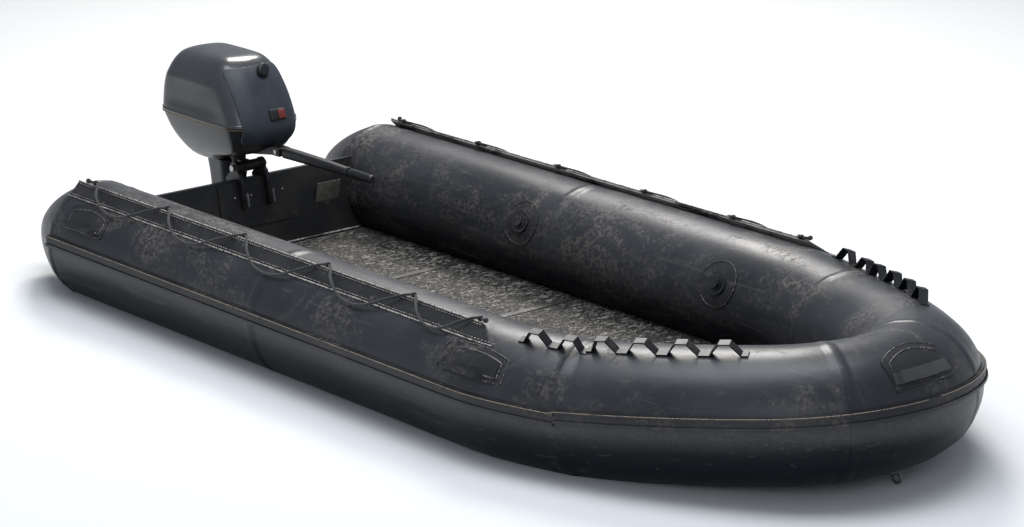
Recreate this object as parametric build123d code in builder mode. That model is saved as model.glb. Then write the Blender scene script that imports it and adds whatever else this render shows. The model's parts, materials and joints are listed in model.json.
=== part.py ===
"""Inflatable boat with an outboard motor, afloat, at its real size.

Millimetres. +X points to the bow, +Y to port and +Z up.
The origin is amidships, on the centreline, at the waterline of the empty boat.
"""

import math
import os

from build123d import *

os.makedirs("parts", exist_ok=True)

# Air tubes
TUBE_R = 255.0
SIDE_Y = 776.0
DRAFT = 40.0
TUBE_Z = TUBE_R - DRAFT
CONE_X = -1940.0
CONE_LENGTH = 305.0
CONE_TIP_R = 46.0
CONE_CROWN = 24.0
CHAMBER_X = -480.0
SEAT_GAP = 0.3

# Bow plan: the straight side runs into three tangent arcs, and the stem is square to the centreline
BOW_START_X = 750.0
SHOULDER_R, SHOULDER_TURN = 814.0, 13.6
CHEEK_R, CHEEK_TURN = 2471.0, 35.5
STEM_TURN = 90.0
SEAM_TURN = 18.9
NOSE_TURN = 61.3
BOW_RISE_DEG = 5.9

# Bottom, deck and transom
SKIN_T = 6.0
KEEL_DROP = 46.0
KEEL_R = 55.0
DECK_TOP = 45.0
DECK_T = 20.0
BOARD_LENGTH = 735.0
BOARD_GAP = 8.0
DECK_BOW_X = 1700.0
TRANSOM_X = -1871.0
TRANSOM_TOP = 368.0
TRANSOM_RAKE = 10.6
TRANSOM_T = 44.0
PAD_T = 8.0
PAD_WIDTH = 380.0

# Rubbing strake, rope flap and lashing strap, by angle up the outside of the tube
STRAKE_LOW, STRAKE_HIGH = 2.0, 13.5
STRAKE_T = 9.0
RIB_T = 7.0
FLAP_START_X, FLAP_END_X, FLAP_FOOT_X = -1941.0, 766.0, 860.0
FLAP_ANGLE = 61.0
FLAP_EDGE_OUT, FLAP_EDGE_UP = 81.0, 265.5
FLAP_T = 7.0
ZIGZAG_ANGLE = 73.5
ZIGZAG_RISE = 46.0
ZIGZAG_WIDTH = 36.0
ZIGZAG_T = 5.0
ZIGZAG_X = (996.0, 1133.0, 1270.0, 1407.0, 1543.0, 1676.0)

# Lifeline
ROPE_D = 11.0
EYE_X = (-1831.0, -1296.0, -753.0, -199.0, 337.0, 731.0)
EYE_R = 10.5
EYE_BORE = 6.2
EYE_LENGTH = 10.0
EYE_OUT, EYE_UP = 71.0, 279.5

# Motor
TILT_X, TILT_Z = -1890.0, 418.0
STEER_X = -1965.0
TILT_TUBE_R = 14.0
TILT_BOSS_R = 28.0
CLAMP_Y, CLAMP_T = 62.0, 18.0
PIN_CLEARANCE = 0.05
RUN_GAP = 0.6
LEG_X = -2062.0
PLATE_Z = -140.0
PROP_Z = -306.0
PROP_R = 145.0
PROP_X = -2330.0
SEAM_Z = 640.0
COWL_FRONT, COWL_BACK = -1700.0, -2352.0
COWL_W = 388.0
COWL_WALL = 5.0
TILLER_X, TILLER_Z = -1640.0, 532.0
TILLER_END_X = -988.0


def rad(degrees):
    return math.radians(degrees)


NOSE_R = (
    SIDE_Y
    - SHOULDER_R * (1 - math.cos(rad(SHOULDER_TURN)))
    - CHEEK_R * (math.cos(rad(SHOULDER_TURN)) - math.cos(rad(CHEEK_TURN)))
) / math.cos(rad(CHEEK_TURN))

# Each arc of the bow plan: radius, heading at its end
BOW_ARCS = ((SHOULDER_R, SHOULDER_TURN), (CHEEK_R, CHEEK_TURN), (NOSE_R, STEM_TURN))


def plan_point(turn):
    """Centreline of the starboard tube in plan, where its heading has turned by this angle."""
    x, y, heading = BOW_START_X, -SIDE_Y, 0.0
    for radius, arc_end in BOW_ARCS:
        stop = min(turn, arc_end)
        x += radius * (math.sin(rad(stop)) - math.sin(rad(heading)))
        y += radius * (math.cos(rad(heading)) - math.cos(rad(stop)))
        heading = stop
        if turn <= arc_end:
            break
    return x, y


def turn_at(x):
    """Heading of the tube where its centreline passes this x."""
    low, high = 0.0, STEM_TURN
    for _ in range(40):
        middle = (low + high) / 2
        if plan_point(middle)[0] < x:
            low = middle
        else:
            high = middle
    return low


SEAM_X, SEAM_Y = plan_point(SEAM_TURN)
SIDE_PLANE = Plane(origin=(0, 0, TUBE_Z))
BOW_PLANE = Plane(
    origin=(SEAM_X, 0, TUBE_Z),
    x_dir=(math.cos(rad(BOW_RISE_DEG)), 0, math.sin(rad(BOW_RISE_DEG))),
    z_dir=(-math.sin(rad(BOW_RISE_DEG)), 0, math.cos(rad(BOW_RISE_DEG))),
)


def plan_arcs(start, end, origin_x):
    """The bow arcs between two headings, as lines of the active BuildLine."""
    heading = start
    for radius, arc_end in BOW_ARCS:
        stop = min(arc_end, end)
        if heading < stop:
            x, y = plan_point(heading)
            JernArc(
                start=(x - origin_x, y),
                tangent=(math.cos(rad(heading)), math.sin(rad(heading))),
                radius=radius,
                arc_size=stop - heading,
            )
            heading = stop


def side_path(start_x, end_turn, straight_end=BOW_START_X):
    with BuildLine(SIDE_PLANE) as path:
        if start_x < straight_end:
            Line((start_x, -SIDE_Y), (straight_end, -SIDE_Y))
        if end_turn > 0:
            plan_arcs(0, end_turn, 0)
    return path.wire()


def bow_path(start_turn, end_turn):
    with BuildLine(BOW_PLANE) as path:
        plan_arcs(start_turn, end_turn, SEAM_X)
    return path.wire()


def nose_path(half_angle):
    """The stem arc, from starboard round to port."""
    stem_x = plan_point(STEM_TURN)[0] - SEAM_X
    with BuildLine(BOW_PLANE) as path:
        CenterArc(
            center=(stem_x - NOSE_R, 0), radius=NOSE_R, start_angle=-half_angle, arc_size=2 * half_angle
        )
    return path.wire()


def section_plane(path, up):
    """Plane across the start of a path: local x points outboard, local y up."""
    tangent = path % 0
    return Plane(origin=path @ 0, x_dir=tangent.cross(up), z_dir=-tangent)


def tube_frame(x, angle, lift=0.0):
    """Plane on the starboard tube's skin: local x along the tube, local z straight out of it."""
    turn = turn_at(x) if x > BOW_START_X else 0.0
    if turn <= 0:
        base, centre, heading = SIDE_PLANE, (x, -SIDE_Y), 0.0
    elif turn <= SEAM_TURN:
        base, centre, heading = SIDE_PLANE, plan_point(turn), turn
    else:
        plan = plan_point(turn)
        base, centre, heading = BOW_PLANE, (plan[0] - SEAM_X, plan[1]), turn
    along = base.x_dir * math.cos(rad(heading)) + base.y_dir * math.sin(rad(heading))
    outboard = along.cross(base.z_dir)
    radial = outboard * math.cos(rad(angle)) + base.z_dir * math.sin(rad(angle))
    origin = base.from_local_coords(Vector(centre[0], centre[1], 0)) + radial * (TUBE_R + lift)
    return Plane(origin=origin, x_dir=along, z_dir=radial)


def seam_plane():
    """Mitre between the level side tube and the rising bow tube."""
    heading = rad(SEAM_TURN)
    level = Vector(math.cos(heading), math.sin(heading), 0)
    rising = BOW_PLANE.x_dir * math.cos(heading) + BOW_PLANE.y_dir * math.sin(heading)
    return Plane(origin=(SEAM_X, SEAM_Y, TUBE_Z), z_dir=level + rising)


SEAM_PLANE = seam_plane()
SEAM_OVERLAP = 1.5


def save(piece, name):
    piece.label = name
    export_step(piece, f"parts/{name}.step")


def both_sides(piece, stem):
    """Write the starboard piece and its mirror image to port."""
    save(piece, f"{stem}_starboard")
    save(mirror(piece, about=Plane.XZ), f"{stem}_port")


def sector(inner, outer, low, high):
    """Band of a ring between two radii and two angles."""
    with BuildSketch() as band:
        with BuildLine():
            CenterArc((0, 0), inner, low, high - low)
            CenterArc((0, 0), outer, low, high - low)
            for angle in (low, high):
                Line(
                    (inner * math.cos(rad(angle)), inner * math.sin(rad(angle))),
                    (outer * math.cos(rad(angle)), outer * math.sin(rad(angle))),
                )
        make_face()
    return band.sketch


# Air tubes
def round_tube(path, up, radius=TUBE_R):
    with BuildPart() as tube:
        with BuildSketch(section_plane(path, up)):
            Circle(radius)
        sweep(path=path)
    return tube.part


def fore_tube(radius=TUBE_R, start_x=CHAMBER_X):
    with BuildPart() as tube:
        add(round_tube(side_path(start_x, SEAM_TURN + SEAM_OVERLAP), SIDE_PLANE.z_dir, radius))
        split(bisect_by=SEAM_PLANE, keep=Keep.BOTTOM)
    return tube.part


def bow_tube(radius=TUBE_R, end_turn=NOSE_TURN):
    with BuildPart() as tube:
        add(round_tube(bow_path(SEAM_TURN - SEAM_OVERLAP, end_turn), BOW_PLANE.z_dir, radius))
        split(bisect_by=SEAM_PLANE, keep=Keep.TOP)
    return tube.part


def stern_cone():
    with BuildPart() as cone:
        with BuildSketch(Plane(origin=(CONE_X, -SIDE_Y, TUBE_Z), x_dir=(-1, 0, 0), z_dir=(0, 1, 0))):
            with BuildLine():
                middle_r = (TUBE_R + CONE_TIP_R) / 2 + CONE_CROWN
                Polyline((0, TUBE_R), (0, 0), (CONE_LENGTH, 0), (CONE_LENGTH, CONE_TIP_R))
                ThreePointArc((0, TUBE_R), (CONE_LENGTH / 2, middle_r), (CONE_LENGTH, CONE_TIP_R))
            make_face()
        revolve(axis=Axis((CONE_X, -SIDE_Y, TUBE_Z), (1, 0, 0)))
    return cone.part


def air_tubes():
    both_sides(stern_cone(), "stern_cone")
    both_sides(round_tube(side_path(CONE_X, 0, CHAMBER_X), SIDE_PLANE.z_dir), "aft_tube")
    both_sides(fore_tube(), "fore_tube")
    both_sides(bow_tube(), "bow_tube")
    save(round_tube(nose_path(STEM_TURN - NOSE_TURN), BOW_PLANE.z_dir), "nose_tube")


def hull_cutter(clearance):
    """All tubes on both sides, grown by a clearance, to trim what seats on them."""
    radius = TUBE_R + clearance
    with BuildPart() as cutter:
        add(fore_tube(radius, CONE_X))
        add(bow_tube(radius, STEM_TURN))
        mirror(about=Plane.XZ)
    return cutter.part


# Bottom, deck and transom
def rise_at(x):
    return max(0.0, x - SEAM_X) * math.tan(rad(BOW_RISE_DEG))


# Stations of the bottom skin, by heading of the tube beside them: heading, share of the keel's full drop
SKIN_STATIONS = ((0.0, 1.0), (SEAM_TURN, 1.0), (28.0, 0.8), (CHEEK_TURN, 0.5), (60.0, 0.15), (80.0, 0.02))


def skin_section(x, half_width, drop):
    top = -DRAFT - SEAT_GAP + rise_at(x)
    with BuildSketch(Plane.YZ.offset(x)) as face:
        with BuildLine():
            Polyline(
                (-half_width, top),
                (0, top - drop),
                (half_width, top),
                (half_width, top - SKIN_T),
                (0, top - drop - SKIN_T),
                (-half_width, top - SKIN_T),
                close=True,
            )
        make_face()
    return face


def bottom_skin(cutter):
    edge = 20.0
    aft_x = TRANSOM_X + 30.0
    with BuildPart() as skin:
        add(skin_section(aft_x, SIDE_Y + edge, KEEL_DROP).sketch)
        for turn, share in SKIN_STATIONS:
            x, y = plan_point(turn)
            add(skin_section(x, -y + edge, KEEL_DROP * share).sketch)
        loft(ruled=True)
        add(cutter, mode=Mode.SUBTRACT)
    save(skin.part, "bottom_skin")


def keel_tube():
    top = DECK_TOP - DECK_T - SEAT_GAP
    start_x, end_x = transom_face_x(0) + 40, SEAM_X - 20
    with BuildPart() as keel:
        with BuildSketch(Plane.YZ.offset(start_x)):
            with Locations((0, top - KEEL_R)):
                Circle(KEEL_R)
        extrude(amount=end_x - start_x)
        fillet(keel.edges().filter_by(GeomType.CIRCLE), KEEL_R * 0.6)
    save(keel.part, "keel_tube")


def transom_face_x(z):
    """Where the transom's forward face is at this height."""
    return TRANSOM_X + (TRANSOM_TOP - z) * math.tan(rad(TRANSOM_RAKE))


RAKE = rad(TRANSOM_RAKE)
AFT_NORMAL = (-math.cos(RAKE), 0, -math.sin(RAKE))
TRANSOM_FACE = Plane(origin=(TRANSOM_X, 0, TRANSOM_TOP), x_dir=(0, 1, 0), z_dir=AFT_NORMAL)
TRANSOM_SIDE = Plane(origin=(TRANSOM_X, 0, TRANSOM_TOP), x_dir=AFT_NORMAL, z_dir=(0, -1, 0))


def transom(cutter):
    foot = 372.0
    keel_foot = 412.0
    with BuildPart() as board:
        with BuildSketch(TRANSOM_FACE):
            with BuildLine():
                Polyline(
                    (-SIDE_Y, 0), (SIDE_Y, 0), (SIDE_Y, foot), (0, keel_foot), (-SIDE_Y, foot), close=True
                )
            make_face()
        extrude(amount=TRANSOM_T)
        add(cutter, mode=Mode.SUBTRACT)
    save(board.part, "transom")


def transom_pads():
    """Hard plates let onto both faces, where the motor clamps bear."""
    pad_depth = 210.0
    with BuildPart() as pads:
        for offset in (-PAD_T - SEAT_GAP, TRANSOM_T + SEAT_GAP):
            with BuildSketch(TRANSOM_FACE.offset(offset)):
                with Locations((0, pad_depth / 2 + 6)):
                    RectangleRounded(PAD_WIDTH, pad_depth, 18)
            extrude(amount=PAD_T)
    save(pads.part, "transom_pads")


def deck(cutter):
    """Rigid boards laid between the tubes, with a metal joiner in each gap."""
    aft_x = transom_face_x(DECK_TOP - DECK_T) + 8.0
    joint_x = [aft_x + BOARD_LENGTH * step for step in (1, 2, 3, 4)]
    edges = [aft_x] + joint_x + [DECK_BOW_X]
    flare = [(BOW_START_X, SIDE_Y)] + [
        (plan_point(turn)[0], -plan_point(turn)[1]) for turn in (SHOULDER_TURN, SEAM_TURN, turn_at(DECK_BOW_X))
    ]
    outline = [(aft_x, SIDE_Y)] + flare
    with BuildPart() as inside:
        with BuildSketch(Plane.XY.offset(DECK_TOP - DECK_T)):
            with BuildLine():
                Polyline(outline + [(x, -y) for x, y in reversed(outline)], close=True)
            make_face()
        extrude(amount=4 * DECK_T)
        add(cutter, mode=Mode.SUBTRACT)
    with BuildPart() as boards:
        for start, end in zip(edges[:-1], edges[1:]):
            low = start + (BOARD_GAP / 2 if start != aft_x else 0)
            high = end - (BOARD_GAP / 2 if end != DECK_BOW_X else 0)
            with BuildSketch(Plane.XY.offset(DECK_TOP - DECK_T)):
                with Locations(((low + high) / 2, 0)):
                    Rectangle(high - low, 2 * SIDE_Y)
            extrude(amount=DECK_T)
        add(inside, mode=Mode.INTERSECT)
    save(boards.part, "deck_boards")
    flange, flange_t, web = 34.0, 3.0, BOARD_GAP - 2 * SEAT_GAP
    with BuildPart() as joiners:
        for x in joint_x:
            with BuildSketch(Plane.XZ.offset(-SIDE_Y)):
                with Locations((x, DECK_TOP + SEAT_GAP + flange_t / 2)):
                    Rectangle(flange, flange_t)
                with Locations((x, DECK_TOP - DECK_T / 2)):
                    Rectangle(web, DECK_T + 2 * flange_t)
            extrude(amount=2 * SIDE_Y)
        add(inside, mode=Mode.INTERSECT)
    save(joiners.part, "deck_joiners")


# Strips along the tubes
def strake_profile(plane):
    with BuildSketch(plane) as face:
        inner = TUBE_R + SEAT_GAP
        add(sector(inner, inner + STRAKE_T, STRAKE_LOW, STRAKE_HIGH))
        for low in (STRAKE_LOW + 1.2, STRAKE_HIGH - 3.2):
            add(sector(inner + STRAKE_T - 1, inner + STRAKE_T + RIB_T, low, low + 2.0))
    return face.sketch


def swept(profile, path):
    with BuildPart() as piece:
        sweep(sections=profile, path=path)
    return piece.part


def strakes():
    path = side_path(CONE_X, SEAM_TURN + SEAM_OVERLAP)
    with BuildPart() as side:
        add(swept(strake_profile(section_plane(path, SIDE_PLANE.z_dir)), path))
        split(bisect_by=SEAM_PLANE, keep=Keep.BOTTOM)
    both_sides(side.part, "strake")
    path = bow_path(SEAM_TURN - SEAM_OVERLAP, STEM_TURN)
    with BuildPart() as bow:
        add(swept(strake_profile(section_plane(path, BOW_PLANE.z_dir)), path))
        split(bisect_by=SEAM_PLANE, keep=Keep.TOP)
        mirror(about=Plane.XZ)
    save(bow.part, "strake_bow")


def rope_flap():
    """A strip glued along the tube at its foot, whose upper edge stands off to carry the lifeline."""
    foot_r = TUBE_R + SEAT_GAP
    path = side_path(FLAP_START_X, turn_at(FLAP_FOOT_X + 20))
    lean = Vector(
        FLAP_EDGE_OUT - TUBE_R * math.cos(rad(FLAP_ANGLE)), FLAP_EDGE_UP - TUBE_R * math.sin(rad(FLAP_ANGLE))
    ).normalized()
    side = Vector(lean.Y, -lean.X) * (FLAP_T / 2)
    edge = Vector(FLAP_EDGE_OUT, FLAP_EDGE_UP)
    low, high = FLAP_ANGLE - 3.4, FLAP_ANGLE + 3.4
    with BuildPart() as flap:
        with BuildSketch(section_plane(path, SIDE_PLANE.z_dir)):
            with BuildLine():
                start = (foot_r * math.cos(rad(low)), foot_r * math.sin(rad(low)))
                end = (foot_r * math.cos(rad(high)), foot_r * math.sin(rad(high)))
                CenterArc((0, 0), foot_r, low, high - low)
                Polyline(start, tuple(edge + side)[:2], tuple(edge - side)[:2], end)
            make_face()
        sweep(path=path)
        with BuildSketch(Plane.XZ.offset(SIDE_Y - 200)):
            with BuildLine():
                top = TUBE_Z + FLAP_EDGE_UP
                foot = TUBE_Z + TUBE_R * math.sin(rad(low))
                slope = (FLAP_FOOT_X - FLAP_END_X) / (top - foot)
                Polyline(
                    (FLAP_END_X - 20 * slope, top + 20),
                    (FLAP_FOOT_X + 20 * slope, foot - 20),
                    (FLAP_FOOT_X + 200, foot - 20),
                    (FLAP_FOOT_X + 200, top + 20),
                    close=True,
                )
            make_face()
        extrude(amount=400, mode=Mode.SUBTRACT)
    both_sides(flap.part, "rope_flap")


def rope_eyes():
    with BuildPart() as eyes:
        for x in EYE_X:
            with BuildSketch(Plane.YZ.offset(x - EYE_LENGTH / 2)):
                with Locations((-SIDE_Y - EYE_OUT, TUBE_Z + EYE_UP)):
                    Circle(EYE_R)
                    Circle(EYE_BORE, mode=Mode.SUBTRACT)
            extrude(amount=EYE_LENGTH)
    both_sides(eyes.part, "rope_eyes")


def half_arch(half):
    """Outline of an arch's aft half, from its foot up to the crown and back."""
    foot, crown = 24.0, 20.0
    low, high = SEAT_GAP, SEAT_GAP + ZIGZAG_RISE
    lean = math.atan2(ZIGZAG_RISE, half - foot - crown)
    mitre = ZIGZAG_T / 2 * math.tan(lean / 2)
    return [
        (-half, low + ZIGZAG_T),
        (foot - half - mitre, low + ZIGZAG_T),
        (-crown - mitre, high + ZIGZAG_T),
        (-crown + mitre, high),
        (foot - half + mitre, low),
        (-half, low),
    ]


def zigzag_strap():
    """A stiff strap folded into flat-topped arches, for lashing gear along the bow."""
    overlap = 3.0
    frames = [tube_frame(x, ZIGZAG_ANGLE) for x in ZIGZAG_X]
    spans = [(after.origin - before.origin).length / 2 for before, after in zip(frames[:-1], frames[1:])]
    with BuildPart() as strap:
        for frame, aft, fore in zip(frames, spans[:1] + spans, spans + spans[-1:]):
            side = Plane(origin=frame.origin, x_dir=frame.x_dir, z_dir=frame.x_dir.cross(frame.z_dir))
            left, right = half_arch(aft + overlap), half_arch(fore + overlap)
            outer = left[:3] + [(-x, lift) for x, lift in reversed(right[:3])]
            inner = [(-x, lift) for x, lift in reversed(right[3:])] + left[3:]
            with BuildSketch(side):
                with BuildLine():
                    Polyline(outer + inner, close=True)
                make_face()
            extrude(amount=ZIGZAG_WIDTH / 2, both=True)
        add(hull_cutter(SEAT_GAP), mode=Mode.SUBTRACT)
    both_sides(strap.part, "lashing_strap")


# Lifeline, starboard: along the boat, outboard of the tube's axis, above the tube's axis
ROPE_ROUTE = (
    (-1874.0, 80.0, 283.0),
    (-1855.0, 71.0, 279.5),
    (-1807.0, 71.0, 279.5),
    (-1735.0, 142.0, 255.0),
    (-1640.0, 172.0, 211.0),
    (-1515.0, 176.0, 205.0),
    (-1400.0, 145.0, 251.0),
    (-1320.0, 71.0, 279.5),
    (-1272.0, 71.0, 279.5),
    (-1195.0, 144.0, 252.0),
    (-1085.0, 176.0, 206.0),
    (-960.0, 173.0, 210.0),
    (-850.0, 141.0, 256.0),
    (-777.0, 71.0, 279.5),
    (-729.0, 71.0, 279.5),
    (-650.0, 143.0, 254.0),
    (-545.0, 178.0, 203.0),
    (-410.0, 178.0, 203.0),
    (-300.0, 145.0, 251.0),
    (-223.0, 71.0, 279.5),
    (-175.0, 71.0, 279.5),
    (-100.0, 142.0, 255.0),
    (5.0, 175.0, 207.0),
    (130.0, 177.0, 204.0),
    (240.0, 144.0, 253.0),
    (313.0, 71.0, 279.5),
    (361.0, 71.0, 279.5),
    (425.0, 139.0, 257.0),
    (510.0, 166.0, 217.0),
    (600.0, 161.0, 223.0),
    (668.0, 130.0, 262.0),
    (707.0, 71.0, 279.5),
    (753.0, 71.0, 279.5),
    (772.0, 80.0, 283.0),
)


def corner_radii(points):
    """The largest arc that each corner's shorter run allows."""
    radii = []
    for before, corner, after in zip(points[:-2], points[1:-1], points[2:]):
        turn = (corner - before).get_angle(after - corner)
        run = min((corner - before).length, (after - corner).length)
        radii.append(0.45 * run / math.tan(rad(turn) / 2))
    return radii


def lifeline():
    points = [Vector(x, -SIDE_Y - out, TUBE_Z + up) for x, out, up in ROPE_ROUTE]
    radii = corner_radii(points)
    print("lifeline radii", [round(value) for value in radii])
    with BuildPart() as rope:
        with BuildLine() as route:
            FilletPolyline(*points, radius=radii)
        with BuildSketch(Plane(origin=route.line @ 0, z_dir=route.line % 0)):
            Circle(ROPE_D / 2)
        sweep(path=route.wire())
    print("lifeline length", round(route.wire().length), "volume ratio",
          round(rope.part.volume / (math.pi * ROPE_D**2 / 4 * route.wire().length), 4))
    both_sides(rope.part, "lifeline")


# Patches, handles and valves
PATCH_T = 3.0
PATCH_ANGLE = 37.0
PATCH_X = (-1710.0, 805.0)
PATCH_WIDTH, PATCH_HEIGHT, PATCH_DOME = 282.0, 104.0, 32.0
HANDLE_LENGTH, HANDLE_WIDTH, HANDLE_T, HANDLE_GAP = 188.0, 26.0, 9.0, 22.0
BOW_PATCH_ANGLE = 39.0
VALVE_X = (-650.0, 563.0)
VALVE_ANGLE = 24.0
VALVE_PATCH_R, VALVE_R, VALVE_CAP_R = 98.0, 48.0, 24.0


def patch_outline(width, height, dome):
    with BuildSketch() as face:
        with BuildLine():
            top = height / 2
            Polyline((-width / 2, top), (-width / 2, -height / 2), (width / 2, -height / 2), (width / 2, top))
            ThreePointArc((-width / 2, top), (0, top + dome), (width / 2, top))
        make_face()
        fillet(face.vertices(), 16)
    return face.sketch


def skin_shell(thickness):
    """The starboard tubes' skin, as a shell of this thickness that patches are cut from."""
    inner, outer = TUBE_R + SEAT_GAP, TUBE_R + SEAT_GAP + thickness
    with BuildPart() as shell:
        add(fore_tube(outer, CONE_X))
        add(bow_tube(outer, STEM_TURN))
        mirror(about=Plane.XZ)
        add(hull_cutter(inner - TUBE_R), mode=Mode.SUBTRACT)
    return shell.part


def stamped(shell, frame, outline, depth=60.0):
    """The part of the skin's shell inside an outline drawn on a plane that touches it."""
    with BuildPart() as piece:
        with BuildSketch(frame):
            add(outline)
        extrude(amount=depth, both=True)
        add(shell, mode=Mode.INTERSECT)
    return piece.part


def carry_patches(shell):
    with BuildPart() as patches:
        for x in PATCH_X:
            outline = patch_outline(PATCH_WIDTH, PATCH_HEIGHT, PATCH_DOME)
            add(stamped(shell, tube_frame(x, PATCH_ANGLE), outline))
    both_sides(patches.part, "carry_patches")


def handle_bar(frame, base):
    """A moulded grip: two feet on the patch and a bar held off it."""
    reach = HANDLE_GAP + HANDLE_T
    foot = 30.0
    side = Plane(origin=frame.origin, x_dir=frame.x_dir, z_dir=frame.x_dir.cross(frame.z_dir))
    with BuildPart() as handle:
        with BuildSketch(side):
            with BuildLine():
                half = HANDLE_LENGTH / 2
                sole = base - 8.0
                Polyline(
                    (-half, sole),
                    (-half + foot * 0.4, base + reach),
                    (half - foot * 0.4, base + reach),
                    (half, sole),
                    (half - foot, sole),
                    (half - foot * 1.2, base + HANDLE_GAP),
                    (-half + foot * 1.2, base + HANDLE_GAP),
                    (-half + foot, sole),
                    close=True,
                )
            make_face()
        extrude(amount=HANDLE_WIDTH / 2, both=True)
        add(hull_cutter(2 * SEAT_GAP + PATCH_T), mode=Mode.SUBTRACT)
    return handle.part


def carry_handles():
    with BuildPart() as handles:
        for x in PATCH_X:
            add(handle_bar(tube_frame(x, PATCH_ANGLE - 8), PATCH_T))
    both_sides(handles.part, "carry_handles")


def nose_frame(angle):
    """Plane on the stem's skin, at this angle up from level: local x to starboard."""
    x = plan_point(STEM_TURN)[0] - SEAM_X
    radial = BOW_PLANE.x_dir * math.cos(rad(angle)) + BOW_PLANE.z_dir * math.sin(rad(angle))
    origin = BOW_PLANE.from_local_coords(Vector(x, 0, 0)) + radial * TUBE_R
    return Plane(origin=origin, x_dir=(0, -1, 0), z_dir=radial)


BOW_HANDLE_SPAN = 10.0
BOW_HANDLE_R = TUBE_R + SEAT_GAP + PATCH_T + 16.0


def bow_fittings(shell):
    outline = patch_outline(300.0, 128.0, 52.0)
    frame = nose_frame(BOW_PATCH_ANGLE)
    shifted = Plane(origin=frame.origin, x_dir=(0, 1, 0), z_dir=frame.z_dir)
    save(stamped(shell, shifted, outline, 90.0), "bow_patch")
    base = TUBE_R + 2 * SEAT_GAP + PATCH_T
    low, high = 29.0, 38.5
    with BuildPart() as handle:
        for half, inner, outer in (
            (BOW_HANDLE_SPAN, BOW_HANDLE_R, BOW_HANDLE_R + 4.0),
            (BOW_HANDLE_SPAN + 2.2, base, base + 4.0),
        ):
            path = nose_path(half)
            with BuildSketch(section_plane(path, BOW_PLANE.z_dir)):
                add(sector(inner, outer, low, high))
            sweep(path=path)
        path = nose_path(BOW_HANDLE_SPAN)
        with BuildSketch(section_plane(path, BOW_PLANE.z_dir)):
            add(sector(base, BOW_HANDLE_R + 4.0, low, high))
        sweep(path=path)
        inner_path = nose_path(BOW_HANDLE_SPAN - 1.0)
        with BuildSketch(section_plane(inner_path, BOW_PLANE.z_dir)):
            add(sector(base - 1, BOW_HANDLE_R, low - 2, high + 2))
        sweep(path=inner_path, mode=Mode.SUBTRACT)
    save(handle.part, "bow_handle")


def valves(shell):
    """Inflation valves on the inboard side of each tube: a round patch, a collar and a screwed cap."""
    with BuildSketch() as disc:
        Circle(VALVE_PATCH_R)
    with BuildPart() as valve_set:
        for x in VALVE_X:
            frame = tube_frame(x, 180 - VALVE_ANGLE)
            add(stamped(shell, frame, disc.sketch))
            with BuildSketch(frame.offset(PATCH_T - 2)):
                Circle(VALVE_R)
            extrude(amount=9)
            with BuildSketch(frame.offset(PATCH_T + 6)):
                Circle(VALVE_CAP_R + 7)
            extrude(amount=6)
            with BuildSketch(frame.offset(PATCH_T + 11)):
                RegularPolygon(VALVE_CAP_R, 8)
            extrude(amount=12)
    both_sides(valve_set.part, "valves")


TOW_EYE_R, TOW_EYE_T = 14.0, 10.0


def tow_eye(shell):
    """A towing eye under the stem, on its own glued pad."""
    frame = nose_frame(-78)
    with BuildSketch() as pad:
        RectangleRounded(120, 90, 18)
    reach = TOW_EYE_R + 14
    with BuildPart() as eye:
        add(stamped(shell, frame, pad.sketch))
        side = Plane(origin=frame.origin, x_dir=frame.z_dir, z_dir=(0, 1, 0))
        with BuildSketch(side.offset(-TOW_EYE_T / 2)):
            with Locations((PATCH_T + reach - 6, 0)):
                Circle(reach - 6)
            with Locations((PATCH_T + reach / 2 - 4, 0)):
                Rectangle(reach - 4, 2 * reach - 12)
            with Locations((PATCH_T + reach - 4, 0)):
                Circle(TOW_EYE_R, mode=Mode.SUBTRACT)
        extrude(amount=TOW_EYE_T)
        add(hull_cutter(SEAT_GAP), mode=Mode.SUBTRACT)
    centre = side.from_local_coords(Vector(PATCH_T + reach - 4, 0, 0))
    print("tow eye centre", centre)
    save(eye.part, "tow_eye")


# Motor bracket
def clamp_brackets():
    """Two plates that hook over the transom, one each side, and carry the tilt tube."""
    pad = PAD_T + 2 * SEAT_GAP
    with BuildPart() as bracket:
        with BuildSketch(TRANSOM_SIDE.offset(CLAMP_Y)):
            with BuildLine():
                Polyline(
                    (-pad, -SEAT_GAP),
                    (-pad, 128),
                    (-pad - 12, 136),
                    (-pad - 24, 128),
                    (-pad - 26, 20),
                    (-pad - 16, -22),
                    (-8, -44),
                    (34, -44),
                    (TRANSOM_T + pad + 26, -10),
                    (TRANSOM_T + pad + 20, 236),
                    (TRANSOM_T + pad, 246),
                    (TRANSOM_T + pad, -SEAT_GAP),
                    close=True,
                )
            make_face()
            boss = TRANSOM_SIDE.to_local_coords(Vector(TILT_X, 0, TILT_Z))
            with Locations((boss.X, boss.Y)):
                Circle(TILT_BOSS_R)
                Circle(TILT_TUBE_R + PIN_CLEARANCE, mode=Mode.SUBTRACT)
        extrude(amount=CLAMP_T)
        with BuildSketch(TRANSOM_FACE.offset(-pad - 40)):
            with Locations((-CLAMP_Y - CLAMP_T / 2, 92)):
                Circle(6 + PIN_CLEARANCE)
        extrude(amount=41, mode=Mode.SUBTRACT)
    both_sides(bracket.part, "clamp_bracket")


def clamp_screws():
    pad = PAD_T + 2 * SEAT_GAP
    with BuildPart() as screws:
        for side in (-1, 1):
            y = side * (CLAMP_Y + CLAMP_T / 2)
            with BuildSketch(TRANSOM_FACE.offset(-pad - 52)):
                with Locations((y, 92)):
                    Circle(6)
            extrude(amount=52)
            with BuildSketch(TRANSOM_FACE.offset(-pad - 52)):
                with Locations((y, 92)):
                    SlotOverall(62, 12, rotation=90)
            extrude(amount=9)
    save(screws.part, "clamp_screws")


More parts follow.
